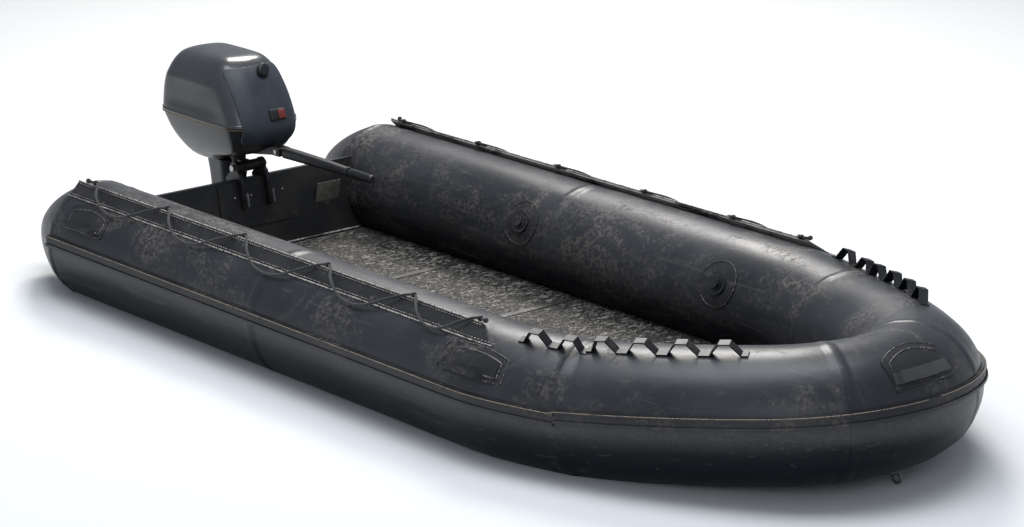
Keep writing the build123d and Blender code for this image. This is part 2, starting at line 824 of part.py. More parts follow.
def tilt_tube():
    length = 2 * (CLAMP_Y + CLAMP_T) + 24
    with BuildPart() as tube:
        with BuildSketch(Plane.XZ.offset(-length / 2)):
            with Locations((TILT_X, TILT_Z)):
                Circle(TILT_TUBE_R)
        extrude(amount=length)
    save(tube.part, "tilt_tube")


SWIVEL_TOP, SWIVEL_FOOT = 440.0, 70.0
SWIVEL_R, STEER_SHAFT_R = 31.0, 15.0


def swivel_bracket():
    """Hangs on the tilt tube between the clamp brackets and holds the steering shaft."""
    half = CLAMP_Y - RUN_GAP
    with BuildPart() as swivel:
        with BuildSketch(Plane.XZ.offset(-half)):
            with Locations((TILT_X, TILT_Z)):
                Circle(24)
        extrude(amount=2 * half)
        with BuildSketch(Plane.XZ.offset(-22)):
            with BuildLine():
                Polyline(
                    (TILT_X, TILT_Z + 20),
                    (TILT_X, TILT_Z - 20),
                    (TILT_X - 36, TILT_Z - 34),
                    (STEER_X + 24, 330),
                    (STEER_X + 10, SWIVEL_FOOT + 20),
                    (STEER_X, SWIVEL_FOOT + 20),
                    (STEER_X, TILT_Z + 20),
                    close=True,
                )
            make_face()
        extrude(amount=44)
        with BuildSketch(Plane.XY.offset(SWIVEL_FOOT)):
            with Locations((STEER_X, 0)):
                Circle(SWIVEL_R)
        extrude(amount=SWIVEL_TOP - SWIVEL_FOOT)
        with BuildSketch(Plane.XY.offset(SWIVEL_FOOT - 5)):
            with Locations((STEER_X, 0)):
                Circle(STEER_SHAFT_R + PIN_CLEARANCE)
        extrude(amount=SWIVEL_TOP - SWIVEL_FOOT + 10, mode=Mode.SUBTRACT)
        with BuildSketch(Plane.XZ.offset(-half - 5)):
            with Locations((TILT_X, TILT_Z)):
                Circle(TILT_TUBE_R + PIN_CLEARANCE)
        extrude(amount=2 * half + 10, mode=Mode.SUBTRACT)
    save(swivel.part, "swivel_bracket")


# Motor body
MOUNT_TOP, MOUNT_R, MOUNT_REACH, MOUNT_WIDTH = 465.7, 36.0, 80.0, 60.0
ARM_WIDTH, TONGUE_WIDTH, TILLER_PIN_R = 60.0, 32.0, 6.0


def steering_bracket():
    """Upper and lower motor mounts on one steering shaft, with the arm that carries the tiller."""
    gap = RUN_GAP
    with BuildPart() as bracket:
        with BuildSketch(Plane.XY.offset(SWIVEL_FOOT - 26)):
            with Locations((STEER_X, 0)):
                Circle(STEER_SHAFT_R)
        extrude(amount=SWIVEL_TOP - SWIVEL_FOOT + 40)
        for low, high in ((SWIVEL_TOP + gap, MOUNT_TOP), (SWIVEL_FOOT - gap - 24, SWIVEL_FOOT - gap)):
            with BuildSketch(Plane.XY.offset(low)):
                with Locations((STEER_X, 0)):
                    Circle(MOUNT_R)
                with Locations((STEER_X - MOUNT_REACH / 2, 0)):
                    Rectangle(MOUNT_REACH, MOUNT_WIDTH)
            extrude(amount=high - low)
    save(bracket.part, "steering_bracket")
    with BuildPart() as arm:
        with BuildSketch(Plane.XZ.offset(-ARM_WIDTH / 2)):
            with BuildLine():
                Polyline(
                    (STEER_X + 20, MOUNT_TOP + SEAT_GAP),
                    (-1903, MOUNT_TOP + SEAT_GAP),
                    (-1896, 479),
                    (-1760, 499),
                    (-1668, TILLER_Z - 18),
                    (TILLER_X + 24, TILLER_Z - 18),
                    (TILLER_X + 24, TILLER_Z + 18),
                    (-1664, TILLER_Z + 18),
                    (-1760, 525),
                    (-1900, 500),
                    (STEER_X + 20, 500),
                    close=True,
                )
            make_face()
        extrude(amount=ARM_WIDTH)
        with BuildSketch(Plane.XZ.offset(-TONGUE_WIDTH / 2 - RUN_GAP)):
            with Locations((TILLER_X + 4, TILLER_Z)):
                Rectangle(60, 50)
        extrude(amount=TONGUE_WIDTH + 2 * RUN_GAP, mode=Mode.SUBTRACT)
        with BuildSketch(Plane.XZ.offset(-40)):
            with Locations((TILLER_X, TILLER_Z)):
                Circle(TILLER_PIN_R + PIN_CLEARANCE)
        extrude(amount=80, mode=Mode.SUBTRACT)
    save(arm.part, "steering_arm")


def rounded_loft(levels):
    """Loft through rounded rectangles; each level is height, centre x, length, width, corner."""
    with BuildPart() as body:
        for z, x, length, width, corner in levels:
            with BuildSketch(Plane.XY.offset(z)):
                with Locations((x, 0)):
                    RectangleRounded(length, width, corner)
        loft()
    return body.part


def leg():
    """Driveshaft housing from the cowl down to the ventilation plate."""
    levels = (
        (PLATE_Z + 3.3, LEG_X, 128, 66, 30),
        (60.0, LEG_X, 136, 84, 38),
        (300.0, LEG_X, 146, 100, 44),
        (424.7, LEG_X - 8, 168, 118, 50),
    )
    with BuildPart() as housing:
        add(rounded_loft(levels))
        with BuildSketch(Plane.XY.offset(SWIVEL_FOOT - 60)):
            with Locations((STEER_X, 0)):
                Circle(SWIVEL_R + 5.5)
        extrude(amount=SWIVEL_TOP - SWIVEL_FOOT + 80, mode=Mode.SUBTRACT)
        for low, height in ((SWIVEL_FOOT - RUN_GAP - 24.3, 24.6),):
            with BuildSketch(Plane.XY.offset(low)):
                with Locations((STEER_X - 40, 0)):
                    Rectangle(80.6, 60.6)
            extrude(amount=height, mode=Mode.SUBTRACT)
    save(housing.part, "leg")


def ventilation_plate():
    with BuildPart() as plate:
        with BuildSketch(Plane.XY.offset(PLATE_Z - 3)):
            with BuildLine():
                ThreePointArc((LEG_X + 78, -50), (LEG_X + 96, 0), (LEG_X + 78, 50))
                Polyline((LEG_X + 78, 50), (LEG_X - 60, 104), (-2400, 112), (-2420, 60))
                ThreePointArc((-2420, 60), (-2428, 0), (-2420, -60))
                Polyline((-2420, -60), (-2400, -112), (LEG_X - 60, -104), (LEG_X + 78, -50))
            make_face()
        extrude(amount=6)
    save(plate.part, "ventilation_plate")


GEARCASE_R = 44.0
SHAFT_R, SHAFT_LENGTH = 11.0, 46.0


def gearcase():
    """Strut, torpedo and skeg under the ventilation plate."""
    with BuildPart() as case:
        for z, x, length, width in ((PLATE_Z - 3.3, LEG_X - 4, 150, 60), (PROP_Z, LEG_X - 14, 190, 34)):
            with BuildSketch(Plane.XY.offset(z)):
                with Locations((x, 0)):
                    Ellipse(length / 2, width / 2)
        loft()
        with BuildSketch(Plane(origin=(0, 0, PROP_Z), x_dir=(1, 0, 0), z_dir=(0, 1, 0))):
            nose, tail = LEG_X + 130, PROP_X + 56
            with BuildLine():
                Line((tail, 0), (nose, 0))
                ThreePointArc((nose, 0), (nose - 34, GEARCASE_R * 0.72), (nose - 100, GEARCASE_R))
                Line((nose - 100, GEARCASE_R), (tail + 40, GEARCASE_R))
                Line((tail + 40, GEARCASE_R), (tail, GEARCASE_R * 0.8))
                Line((tail, GEARCASE_R * 0.8), (tail, 0))
            make_face()
        revolve(axis=Axis((0, 0, PROP_Z), (1, 0, 0)))
        with BuildSketch(Plane.XZ.offset(-5)):
            with BuildLine():
                Polyline(
                    (LEG_X + 60, PROP_Z - 30),
                    (LEG_X - 70, PROP_Z - 172),
                    (LEG_X - 132, PROP_Z - 176),
                    (LEG_X - 150, PROP_Z - 30),
                    close=True,
                )
            make_face()
        extrude(amount=10)
        with BuildSketch(Plane.YZ.offset(tail - 2)):
            with Locations((0, PROP_Z)):
                Circle(SHAFT_R + PIN_CLEARANCE)
        extrude(amount=SHAFT_LENGTH, mode=Mode.SUBTRACT)
    save(case.part, "gearcase")


BLADES = 3
HUB_R = 36.0


def propeller():
    hub_front, hub_back = PROP_X + 50, PROP_X - 62
    with BuildPart() as prop:
        with BuildSketch(Plane.YZ.offset(hub_back)):
            with Locations((0, PROP_Z)):
                Circle(HUB_R)
        extrude(amount=hub_front - hub_back)
        fillet(prop.edges().filter_by(GeomType.CIRCLE).sort_by(Axis.X)[0], 12)
        with BuildSketch(Plane.YZ.offset(hub_front)):
            with Locations((0, PROP_Z)):
                Circle(SHAFT_R)
        extrude(amount=SHAFT_LENGTH)
        for blade in range(BLADES):
            turn = 360.0 / BLADES * blade + 30
            spoke = Vector(0, math.cos(rad(turn)), math.sin(rad(turn)))
            centre = Vector(PROP_X, 0, PROP_Z)
            for radius, chord, pitch, thick in (
                (HUB_R - 8, 78, 52, 11),
                (85, 122, 34, 8),
                (125, 104, 26, 5),
                (PROP_R, 40, 23, 3),
            ):
                across = Vector(-1, 0, 0).cross(spoke)
                chord_dir = Vector(-1, 0, 0) * math.sin(rad(pitch)) + across * math.cos(rad(pitch))
                with BuildSketch(Plane(origin=centre + spoke * radius, x_dir=chord_dir, z_dir=spoke)):
                    Ellipse(chord / 2, thick / 2)
            loft()
    save(prop.part, "propeller")
    with BuildPart() as nut:
        with BuildSketch(Plane.YZ.offset(hub_back - 18 - SEAT_GAP)):
            with Locations((0, PROP_Z)):
                RegularPolygon(16, 6)
        extrude(amount=18)
    save(nut.part, "propeller_nut")


# Cowls, by height: height, front, back, width, corner
COWL_LEVELS = (
    (425.0, -1900.0, -2210.0, 176.0, 75.0),
    (480.0, -1845.0, -2262.0, 264.0, 100.0),
    (545.0, -1727.0, -2315.0, 340.0, 120.0),
    (SEAM_Z, COWL_FRONT, COWL_BACK, COWL_W, 132.0),
    (720.0, -1733.0, -2348.0, 386.0, 130.0),
    (800.0, -1778.0, -2330.0, 364.0, 126.0),
    (860.0, -1822.0, -2296.0, 320.0, 112.0),
    (900.0, -1868.0, -2258.0, 260.0, 92.0),
    (922.0, -1915.0, -2215.0, 180.0, 64.0),
)
TRAY_FLOOR = 506.0


def cowl_body(grow):
    levels = [
        (z, (front + back) / 2, front - back + 2 * grow, width + 2 * grow, corner + grow)
        for z, front, back, width, corner in COWL_LEVELS
    ]
    with BuildPart() as body:
        add(rounded_loft(levels))
        if grow < 0:
            with BuildSketch(Plane.XY.offset(COWL_LEVELS[-1][0] + grow)):
                Rectangle(9000, 900)
            extrude(amount=200, mode=Mode.SUBTRACT)
            with BuildSketch(Plane.XY.offset(300)):
                Rectangle(9000, 900)
            extrude(amount=TRAY_FLOOR - 300, mode=Mode.SUBTRACT)
    return body.part


def slab(low, high):
    with BuildPart() as block:
        with BuildSketch(Plane.XY.offset(low)):
            Rectangle(9000, 1200)
        extrude(amount=high - low)
    return block.part


def bracket_room():
    """Space under the tray for the bracket, the clamps and the steering arm."""
    with BuildPart() as room:
        with BuildSketch(Plane.XZ.offset(-300)):
            with BuildLine():
                Polyline(
                    (-1995, 380),
                    (-1995, MOUNT_TOP + SEAT_GAP),
                    (-1870, 472),
                    (-1741, 503),
                    (-1650, 540),
                    (-1590, 545),
                    (-1590, 380),
                    close=True,
                )
            make_face()
        extrude(amount=600)
        with BuildSketch(Plane.XY.offset(380)):
            with Locations((STEER_X, 0)):
                Circle(MOUNT_R + SEAT_GAP)
            with Locations((STEER_X - MOUNT_REACH / 2, 0)):
                Rectangle(MOUNT_REACH + 2 * SEAT_GAP, MOUNT_WIDTH + 2 * SEAT_GAP)
        extrude(amount=MOUNT_TOP + SEAT_GAP - 380)
        with BuildSketch(Plane.XZ.offset(-ARM_WIDTH / 2 - SEAT_GAP)):
            with BuildLine():
                Polyline(
                    (-1950, 440),
                    (-1950, 500 + SEAT_GAP),
                    (-1900, 500 + SEAT_GAP),
                    (-1760, 525 + SEAT_GAP),
                    (-1640, 560),
                    (-1640, 440),
                    close=True,
                )
            make_face()
        extrude(amount=ARM_WIDTH + 2 * SEAT_GAP)
    return room.part


def cowls():
    outside, inside = cowl_body(0), cowl_body(-COWL_WALL)
    with BuildPart() as tray:
        add(outside)
        add(inside, mode=Mode.SUBTRACT)
        add(slab(SEAM_Z, 1200), mode=Mode.SUBTRACT)
        add(bracket_room(), mode=Mode.SUBTRACT)
    save(tray.part, "lower_cowl")
    with BuildPart() as cover:
        add(outside)
        add(inside, mode=Mode.SUBTRACT)
        add(slab(300, SEAM_Z + SEAT_GAP), mode=Mode.SUBTRACT)
    save(cover.part, "upper_cowl")


PANEL_T = 4.0


def front_panel():
    """Dark moulded panel over the front of both cowls, with the starter's grip and the stop switch."""
    with BuildPart() as panel:
        add(cowl_body(PANEL_T + SEAT_GAP))
        add(cowl_body(SEAT_GAP), mode=Mode.SUBTRACT)
        with BuildPart(mode=Mode.INTERSECT):
            with BuildSketch(Plane.YZ.offset(-1890)):
                with Locations((0, 715)):
                    RectangleRounded(290, 330, 40)
            extrude(amount=300)
    save(panel.part, "front_panel")


def starter_handle():
    with BuildPart() as handle:
        with BuildSketch(Plane.XZ.offset(-STARTER_Y - 42)):
            with Locations((STARTER_X, STARTER_Z)):
                SlotOverall(34, 24, rotation=60)
        extrude(amount=84)
        fillet(handle.edges(), 5)
        with BuildSketch(Plane(origin=(STARTER_X - 8, STARTER_Y, STARTER_Z), z_dir=(-1, 0, -0.2))):
            Circle(9)
        extrude(amount=40)
        add(cowl_body(PANEL_T + 2 * SEAT_GAP), mode=Mode.SUBTRACT)
    save(handle.part, "starter_handle")


STARTER_X, STARTER_Y, STARTER_Z = -1795.0, 30.0, 862.0
SWITCH_Y, SWITCH_Z = 30.0, 690.0


def stop_switch():
    with BuildPart() as switch:
        with BuildSketch(Plane.YZ.offset(-1760)):
            with Locations((SWITCH_Y, SWITCH_Z)):
                RectangleRounded(58, 44, 8)
        extrude(amount=72)
        with BuildSketch(Plane.YZ.offset(-1688 - SEAT_GAP)):
            with Locations((SWITCH_Y, SWITCH_Z)):
                Circle(13)
        extrude(amount=12)
        add(cowl_body(PANEL_T + 2 * SEAT_GAP), mode=Mode.SUBTRACT)
    save(switch.part, "stop_switch")


def engine_block():
    with BuildPart() as block:
        with BuildSketch(Plane.XY.offset(TRAY_FLOOR + SEAT_GAP)):
            with Locations((-2050, 0)):
                RectangleRounded(370, 240, 40)
        extrude(amount=330)
        chamfer(block.faces().sort_by(Axis.Z)[-1].edges(), 25)
        with BuildSketch(Plane.XZ.offset(-60)):
            with BuildLine():
                Polyline((-1960, 500), (-1960, 510), (-1850, 528), (-1850, 500), close=True)
            make_face()
        extrude(amount=120, mode=Mode.SUBTRACT)
    save(block.part, "engine_block")


# Tiller, by station: along the boat, height, width, depth
TILLER_SECTIONS = (
    (TILLER_X + 40, TILLER_Z, 50, 46),
    (-1420, TILLER_Z + 2, 46, 44),
    (-1160, TILLER_Z, 40, 38),
)


def tiller():
    """Arm that pins between the steering arm's cheeks, and its twist grip."""
    with BuildPart() as arm:
        with BuildSketch(Plane.XZ.offset(-TONGUE_WIDTH / 2)):
            with Locations((TILLER_X, TILLER_Z)):
                Circle(17)
            with Locations((TILLER_X + 30, TILLER_Z)):
                Rectangle(60, 34)
            with Locations((TILLER_X, TILLER_Z)):
                Circle(TILLER_PIN_R + PIN_CLEARANCE, mode=Mode.SUBTRACT)
        extrude(amount=TONGUE_WIDTH)
        for x, z, width, height in TILLER_SECTIONS:
            with BuildSketch(Plane.YZ.offset(x)):
                with Locations((0, z)):
                    RectangleRounded(width, height, 14)
        loft()
    save(arm.part, "tiller_arm")
    with BuildPart() as pin:
        with BuildSketch(Plane.XZ.offset(-ARM_WIDTH / 2 - 5)):
            with Locations((TILLER_X, TILLER_Z)):
                Circle(TILLER_PIN_R)
        extrude(amount=ARM_WIDTH + 10)
        for side in (-1, 1):
            with BuildSketch(Plane.XZ.offset(side * (ARM_WIDTH / 2 + SEAT_GAP))):
                with Locations((TILLER_X, TILLER_Z)):
                    Circle(11)
            extrude(amount=side * 5)
    save(pin.part, "tiller_pin")
    with BuildPart() as grip:
        with BuildSketch(Plane.YZ.offset(-1160 + SEAT_GAP)):
            with Locations((0, TILLER_Z)):
                Circle(24)
        extrude(amount=14)
        with BuildSketch(Plane.YZ.offset(-1146)):
            with Locations((0, TILLER_Z)):
                Circle(19)
        extrude(amount=TILLER_END_X + 1146)
        fillet(grip.faces().sort_by(Axis.X)[-1].edges(), 8)
        for groove in range(9):
            with BuildSketch(Plane.YZ.offset(-1130 + groove * 14)):
                with Locations((0, TILLER_Z)):
                    Circle(21)
            extrude(amount=7)
    save(grip.part, "tiller_grip")


air_tubes()
HULL_CUTTER = hull_cutter(SEAT_GAP)
bottom_skin(HULL_CUTTER)
keel_tube()
transom(HULL_CUTTER)
transom_pads()
deck(HULL_CUTTER)
strakes()
rope_flap()
rope_eyes()
zigzag_strap()
lifeline()
SHELL = skin_shell(PATCH_T)
carry_patches(SHELL)
carry_handles()
bow_fittings(SHELL)
valves(SHELL)
tow_eye(SHELL)
clamp_brackets()
clamp_screws()
tilt_tube()
swivel_bracket()
steering_bracket()
leg()
ventilation_plate()
gearcase()
propeller()
cowls()
front_panel()
starter_handle()
stop_switch()
engine_block()
tiller()
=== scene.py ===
"""Looks of an inflatable boat with an outboard motor, built round its CAD frame, in metres."""
import json
import math

import bmesh
import bpy
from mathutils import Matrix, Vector


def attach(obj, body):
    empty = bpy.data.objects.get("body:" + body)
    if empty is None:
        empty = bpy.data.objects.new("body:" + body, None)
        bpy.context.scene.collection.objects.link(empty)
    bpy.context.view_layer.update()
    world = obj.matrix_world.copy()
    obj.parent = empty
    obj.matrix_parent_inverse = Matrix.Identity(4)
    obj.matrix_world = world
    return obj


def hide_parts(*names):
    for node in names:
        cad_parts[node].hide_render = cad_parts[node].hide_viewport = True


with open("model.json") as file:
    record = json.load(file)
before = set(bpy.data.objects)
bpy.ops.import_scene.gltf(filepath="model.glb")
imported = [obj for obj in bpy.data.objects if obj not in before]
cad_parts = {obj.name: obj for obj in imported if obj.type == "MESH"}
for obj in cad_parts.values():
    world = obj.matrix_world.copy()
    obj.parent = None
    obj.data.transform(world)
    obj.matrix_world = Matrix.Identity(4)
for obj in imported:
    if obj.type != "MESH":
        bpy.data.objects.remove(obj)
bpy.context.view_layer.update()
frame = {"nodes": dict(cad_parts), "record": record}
NODES = frame["nodes"]


def rad(degrees):
    return math.radians(degrees)


# Camera
SENSOR_WIDTH, LENS = 36.0, 115.216
CAMERA_PLACE = (9.640, -8.321, 4.119)
YAW, PITCH = 2.43346, 0.285466
camera_data = bpy.data.cameras.new("photo_camera")
camera_data.sensor_width = SENSOR_WIDTH
camera_data.lens = LENS
camera_data.clip_end = 200.0
camera = bpy.data.objects.new("photo_camera", camera_data)
bpy.context.scene.collection.objects.link(camera)
camera.location = CAMERA_PLACE
aim = Vector((math.cos(YAW) * math.cos(PITCH), math.sin(YAW) * math.cos(PITCH), -math.sin(PITCH)))
camera.rotation_euler = aim.to_track_quat("-Z", "Y").to_euler()
bpy.context.scene.camera = camera

# Hull sizes, as in the part's source, apart from the cones, which the photograph shows longer
TUBE_R, SIDE_Y, TUBE_Z = 0.255, 0.776, 0.215
CONE_X, CONE_LENGTH, CONE_TIP_R, CONE_CROWN = -1.940, 0.352, 0.048, 0.024
BOW_START_X = 0.750
FIRST_R, FIRST_END = 0.814, 13.6
SECOND_R, SECOND_END = 2.471, 35.5
NOSE_R = (
    SIDE_Y
    - FIRST_R * (1 - math.cos(rad(FIRST_END)))
    - SECOND_R * (math.cos(rad(FIRST_END)) - math.cos(rad(SECOND_END)))
) / math.cos(rad(SECOND_END))
ARCS = ((FIRST_R, FIRST_END), (SECOND_R, SECOND_END), (NOSE_R, 90.0))
SEAM_TURN, NOSE_TURN, BOW_RISE = 18.9, 61.3, rad(5.9)


def plan_point(turn):
    """Where the starboard tube's axis has turned this many degrees inward, seen from above."""
    x, y, heading = BOW_START_X, -SIDE_Y, 0.0
    for radius, arc_end in ARCS:
        stop = min(turn, arc_end)
        x += radius * (math.sin(rad(stop)) - math.sin(rad(heading)))
        y += radius * (math.cos(rad(heading)) - math.cos(rad(stop)))
        heading = stop
        if turn <= arc_end:
            break
    return x, y


SEAM_X = plan_point(SEAM_TURN)[0]


def turn_at(x):
    """How far the axis has turned at this x, found by halving."""
    low, high = 0.0, 90.0
    for _ in range(40):
        middle = (low + high) / 2
        if plan_point(middle)[0] < x:
            low = middle
        else:
            high = middle
    return low


def station(x=None, turn=0.0):
    """Centre, forward, outboard and up directions of the starboard tube at an x or at a heading."""
    if x is not None:
        turn = turn_at(x) if x > BOW_START_X else 0.0
    if turn <= 0:
        centre, tilt = Vector((x, -SIDE_Y, TUBE_Z)), 0.0
    elif turn <= SEAM_TURN:
        px, py = plan_point(turn)
        centre, tilt = Vector((px, py, TUBE_Z)), 0.0
    else:
        px, py = plan_point(turn)
        run = px - SEAM_X
        centre = Vector((SEAM_X + run * math.cos(BOW_RISE), py, TUBE_Z + run * math.sin(BOW_RISE)))
        tilt = BOW_RISE
    ahead = Vector((math.cos(tilt), 0, math.sin(tilt)))
    up = Vector((-math.sin(tilt), 0, math.cos(tilt)))
    along = ahead * math.cos(rad(turn)) + Vector((0, 1, 0)) * math.sin(rad(turn))
    return centre, along, along.cross(up), up


def on_skin(x, angle, lift, turn=None):
    """A point over the tube's skin at this angle above the outboard side, with its directions."""
    centre, along, out, up = station(x) if turn is None else station(None, turn)
    radial = out * math.cos(rad(angle)) + up * math.sin(rad(angle))
    return centre + radial * (TUBE_R + lift), along, radial


# Mesh helpers
def new_object(name, vertices, faces, material, body="hull"):
    mesh = bpy.data.meshes.new(name)
    mesh.from_pydata([tuple(v) for v in vertices], [], faces)
    mesh.validate()
    piece = bpy.data.objects.new(name, mesh)
    bpy.context.scene.collection.objects.link(piece)
    mesh.materials.append(material)
    for polygon in mesh.polygons:
        polygon.use_smooth = True
    recalc = bmesh.new()
    recalc.from_mesh(mesh)
    bmesh.ops.recalc_face_normals(recalc, faces=recalc.faces)
    recalc.to_mesh(mesh)
    recalc.free()
    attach(piece, body)
    return piece


def mirrored(vertices):
    return [Vector((v[0], -v[1], v[2])) for v in vertices]


def pair_of(stem, vertices, faces, material):
    """A piece on the hull's starboard side and its mirror image to port."""
    starboard = new_object(f"{stem}_starboard", vertices, faces, material)
    port = new_object(f"{stem}_port", mirrored(vertices), faces, material)
    return starboard, port


def grid_faces(rings, around, closed=True):
    """Faces between rings of points, each ring closed or left open."""
    faces = []
    last = around if closed else around - 1
    for ring in range(rings - 1):
        for step in range(last):
            here = ring * around + step
            beside = ring * around + (step + 1) % around
            faces.append((here, beside, beside + around, here + around))
    return faces


def tube_along(points, radius, around=8):
    """Vertices and faces of a round tube through points, closed at its ends."""
    vertices, faces = [], []
    count = len(points)
    side = None
    for index, point in enumerate(points):
        ahead = (points[min(index + 1, count - 1)] - points[max(index - 1, 0)]).normalized()
        if side is None:
            side = ahead.orthogonal().normalized()
        side = (side - ahead * side.dot(ahead)).normalized()
        other = ahead.cross(side)
        for step in range(around):
            turn = 2 * math.pi * step / around
            vertices.append(point + (side * math.cos(turn) + other * math.sin(turn)) * radius)
    faces = grid_faces(count, around)
    faces.append(tuple(range(around)))
    faces.append(tuple((count - 1) * around + step for step in reversed(range(around))))
    return vertices, faces


def joined(parts):
    vertices, faces = [], []
    for some_vertices, some_faces in parts:
        base = len(vertices)
        vertices.extend(some_vertices)
        faces.extend(tuple(index + base for index in face) for face in some_faces)
    return vertices, faces


# Materials
class Shader:
    """A principled material and short ways to wire its nodes."""

    def __init__(self, name, roughness=0.5, metallic=0.0, specular=0.5, coat=0.0, sheen=0.0):
        self.material = bpy.data.materials.new(name)
        self.material.use_nodes = True
        self.tree = self.material.node_tree
        self.shader = self.tree.nodes["Principled BSDF"]
        self.shader.inputs["Roughness"].default_value = roughness
        self.shader.inputs["Metallic"].default_value = metallic
        self.shader.inputs["Specular IOR Level"].default_value = specular
        self.shader.inputs["Coat Weight"].default_value = coat
        self.shader.inputs["Coat Roughness"].default_value = 0.12
        self.shader.inputs["Sheen Weight"].default_value = sheen
        self.place = self.node("ShaderNodeTexCoord").outputs["Object"]
        self.split = self.node("ShaderNodeSeparateXYZ")
        self.link(self.place, self.split.inputs[0])
        self.normal = self.node("ShaderNodeSeparateXYZ")
        self.link(self.node("ShaderNodeNewGeometry").outputs["Normal"], self.normal.inputs[0])

    def node(self, kind):
        return self.tree.nodes.new(kind)

    def link(self, source, target):
        self.tree.links.new(source, target)

    def feed(self, value, target):
        if isinstance(value, (int, float)):
            target.default_value = value
        elif isinstance(value, tuple):
            target.default_value = (*value, 1.0)
        else:
            self.link(value, target)

    def noise(self, scale, detail=4.0, rough=0.55, stretch=(1, 1, 1), distortion=0.0):
        mapping = self.node("ShaderNodeMapping")
        mapping.inputs["Scale"].default_value = stretch
        self.link(self.place, mapping.inputs["Vector"])
        noise = self.node("ShaderNodeTexNoise")
        noise.inputs["Scale"].default_value = scale
        noise.inputs["Detail"].default_value = detail
        noise.inputs["Roughness"].default_value = rough
        noise.inputs["Distortion"].default_value = distortion
        self.link(mapping.outputs[0], noise.inputs["Vector"])
        return noise.outputs["Fac"]

    def wave(self, scale, axis, distortion):
        wave = self.node("ShaderNodeTexWave")
        wave.bands_direction = axis
        wave.inputs["Scale"].default_value = scale
        wave.inputs["Distortion"].default_value = distortion
        self.link(self.place, wave.inputs["Vector"])
        return wave.outputs["Fac"]

    def step(self, value, low, high):
        node = self.node("ShaderNodeMapRange")
        node.interpolation_type = "SMOOTHSTEP"
        node.inputs["From Min"].default_value = low
        node.inputs["From Max"].default_value = high
        self.link(value, node.inputs["Value"])
        return node.outputs["Result"]

    def math(self, operation, first, second):
        node = self.node("ShaderNodeMath")
        node.operation = operation
        self.feed(first, node.inputs[0])
        self.feed(second, node.inputs[1])
        return node.outputs[0]

    def times(self, *values):
        result = values[0]
        for value in values[1:]:
            result = self.math("MULTIPLY", result, value)
        return result

    def mix(self, factor, first, second):
        node = self.node("ShaderNodeMix")
        node.data_type = "RGBA"
        self.feed(factor, node.inputs[0])
        self.feed(first, node.inputs[6])
        self.feed(second, node.inputs[7])
        return node.outputs[2]

    def blend(self, factor, first, second):
        node = self.node("ShaderNodeMix")
        self.feed(factor, node.inputs[0])
        self.feed(first, node.inputs[2])
        self.feed(second, node.inputs[3])
        return node.outputs[0]

    def mottled(self, scale, detail, dark, pale):
        """Soft patches between two colours."""
        return self.mix(self.step(self.noise(scale, detail, 0.6), 0.35, 0.7), dark, pale)

    def facing_in(self, low, high):
        """How far a face looks towards the boat's centreline."""
        sideways = self.math("MULTIPLY", self.normal.outputs["Y"], self.split.outputs["Y"])
        return self.step(sideways, low, high)

    def colour(self, value):
        self.link(value, self.shader.inputs["Base Color"])

    def roughness(self, value):
        self.link(value, self.shader.inputs["Roughness"])

    def bump(self, height, distance, strength=1.0):
        bump = self.node("ShaderNodeBump")
        bump.inputs["Distance"].default_value = distance
        bump.inputs["Strength"].default_value = strength
        self.link(height, bump.inputs["Height"])
        self.link(bump.outputs[0], self.shader.inputs["Normal"])


# The first colour is painted shade for the rubber's downward faces; then scratch and dust colours.
UNDERSIDE_SHADE, SCRATCHED, RUBBER_DUST = (0.0045, 0.006, 0.009), (0.10, 0.095, 0.092), (0.155, 0.135, 0.118)


def rubber(name, dark, pale, dust, wet):
    """Coated rubber cloth: painted shade on its downward faces, scuffed, and dusty on top and on its inboard
    side.
    """
    look = Shader(name, roughness=wet)
    mottle = look.noise(2.2, 5.0, 0.6)
    mottled_base = look.mix(look.step(mottle, 0.35, 0.7), dark, pale)
    # Downward faces are darkened and get less specular: painted shade.
    downward_shade = look.step(look.normal.outputs["Z"], 0.12, -0.35)
    base = look.mix(downward_shade, mottled_base, UNDERSIDE_SHADE)
    scuff = look.step(look.noise(7.0, 8.0, 0.72, (0.7, 1.6, 1.6), 0.6), 0.60, 0.70)
    fine = look.step(look.noise(60.0, 6.0, 0.7), 0.42, 0.62)
    patches = look.step(look.noise(3.1, 6.0, 0.68, (1, 1, 1), 0.9), 0.48, 0.60)
    upward = look.step(look.normal.outputs["Z"], -0.35, 0.75)
    settled = look.times(patches, fine, upward, dust)
    marks = look.times(scuff, fine, dust * 0.7)
    inboard = look.facing_in(0.02, -0.30)
    streaks = look.step(look.noise(2.7, 7.0, 0.7, (0.6, 1.3, 1.3), 1.2), 0.45, 0.60)
    rubbed = look.times(streaks, fine, inboard, dust * 0.5)
    look.link(look.blend(downward_shade, 0.5, 0.12), look.shader.inputs["Specular IOR Level"])
    amount = look.math("MINIMUM", look.math("ADD", look.math("ADD", settled, marks), rubbed), 1.0)
    scratch = look.step(look.noise(16.0, 3.0, 0.5, (0.12, 1.0, 1.9), 2.4), 0.655, 0.675)
    worn = look.mix(look.times(scratch, 0.35 * dust + 0.1), base, SCRATCHED)
    look.colour(look.mix(amount, worn, RUBBER_DUST))
    look.roughness(look.blend(amount, look.blend(mottle, wet - 0.05, wet + 0.12), 0.85))
    height = look.math("ADD", look.noise(420.0, 2.0), look.times(look.noise(26.0, 3.0), 1.6))
    look.bump(height, 0.0006, 0.5)
    return look.material


tube_look = rubber("tube_rubber", (0.020, 0.021, 0.025), (0.034, 0.035, 0.041), 0.6, wet=0.33)
trim_look = rubber("trim_rubber", (0.015, 0.015, 0.017), (0.030, 0.029, 0.030), 0.75, wet=0.40)
patch_look = rubber("patch_rubber", (0.015, 0.015, 0.017), (0.028, 0.027, 0.029), 0.5, wet=0.32)
strap_look = rubber("strap_rubber", (0.007, 0.007, 0.008), (0.016, 0.015, 0.015), 0.35, wet=0.40)


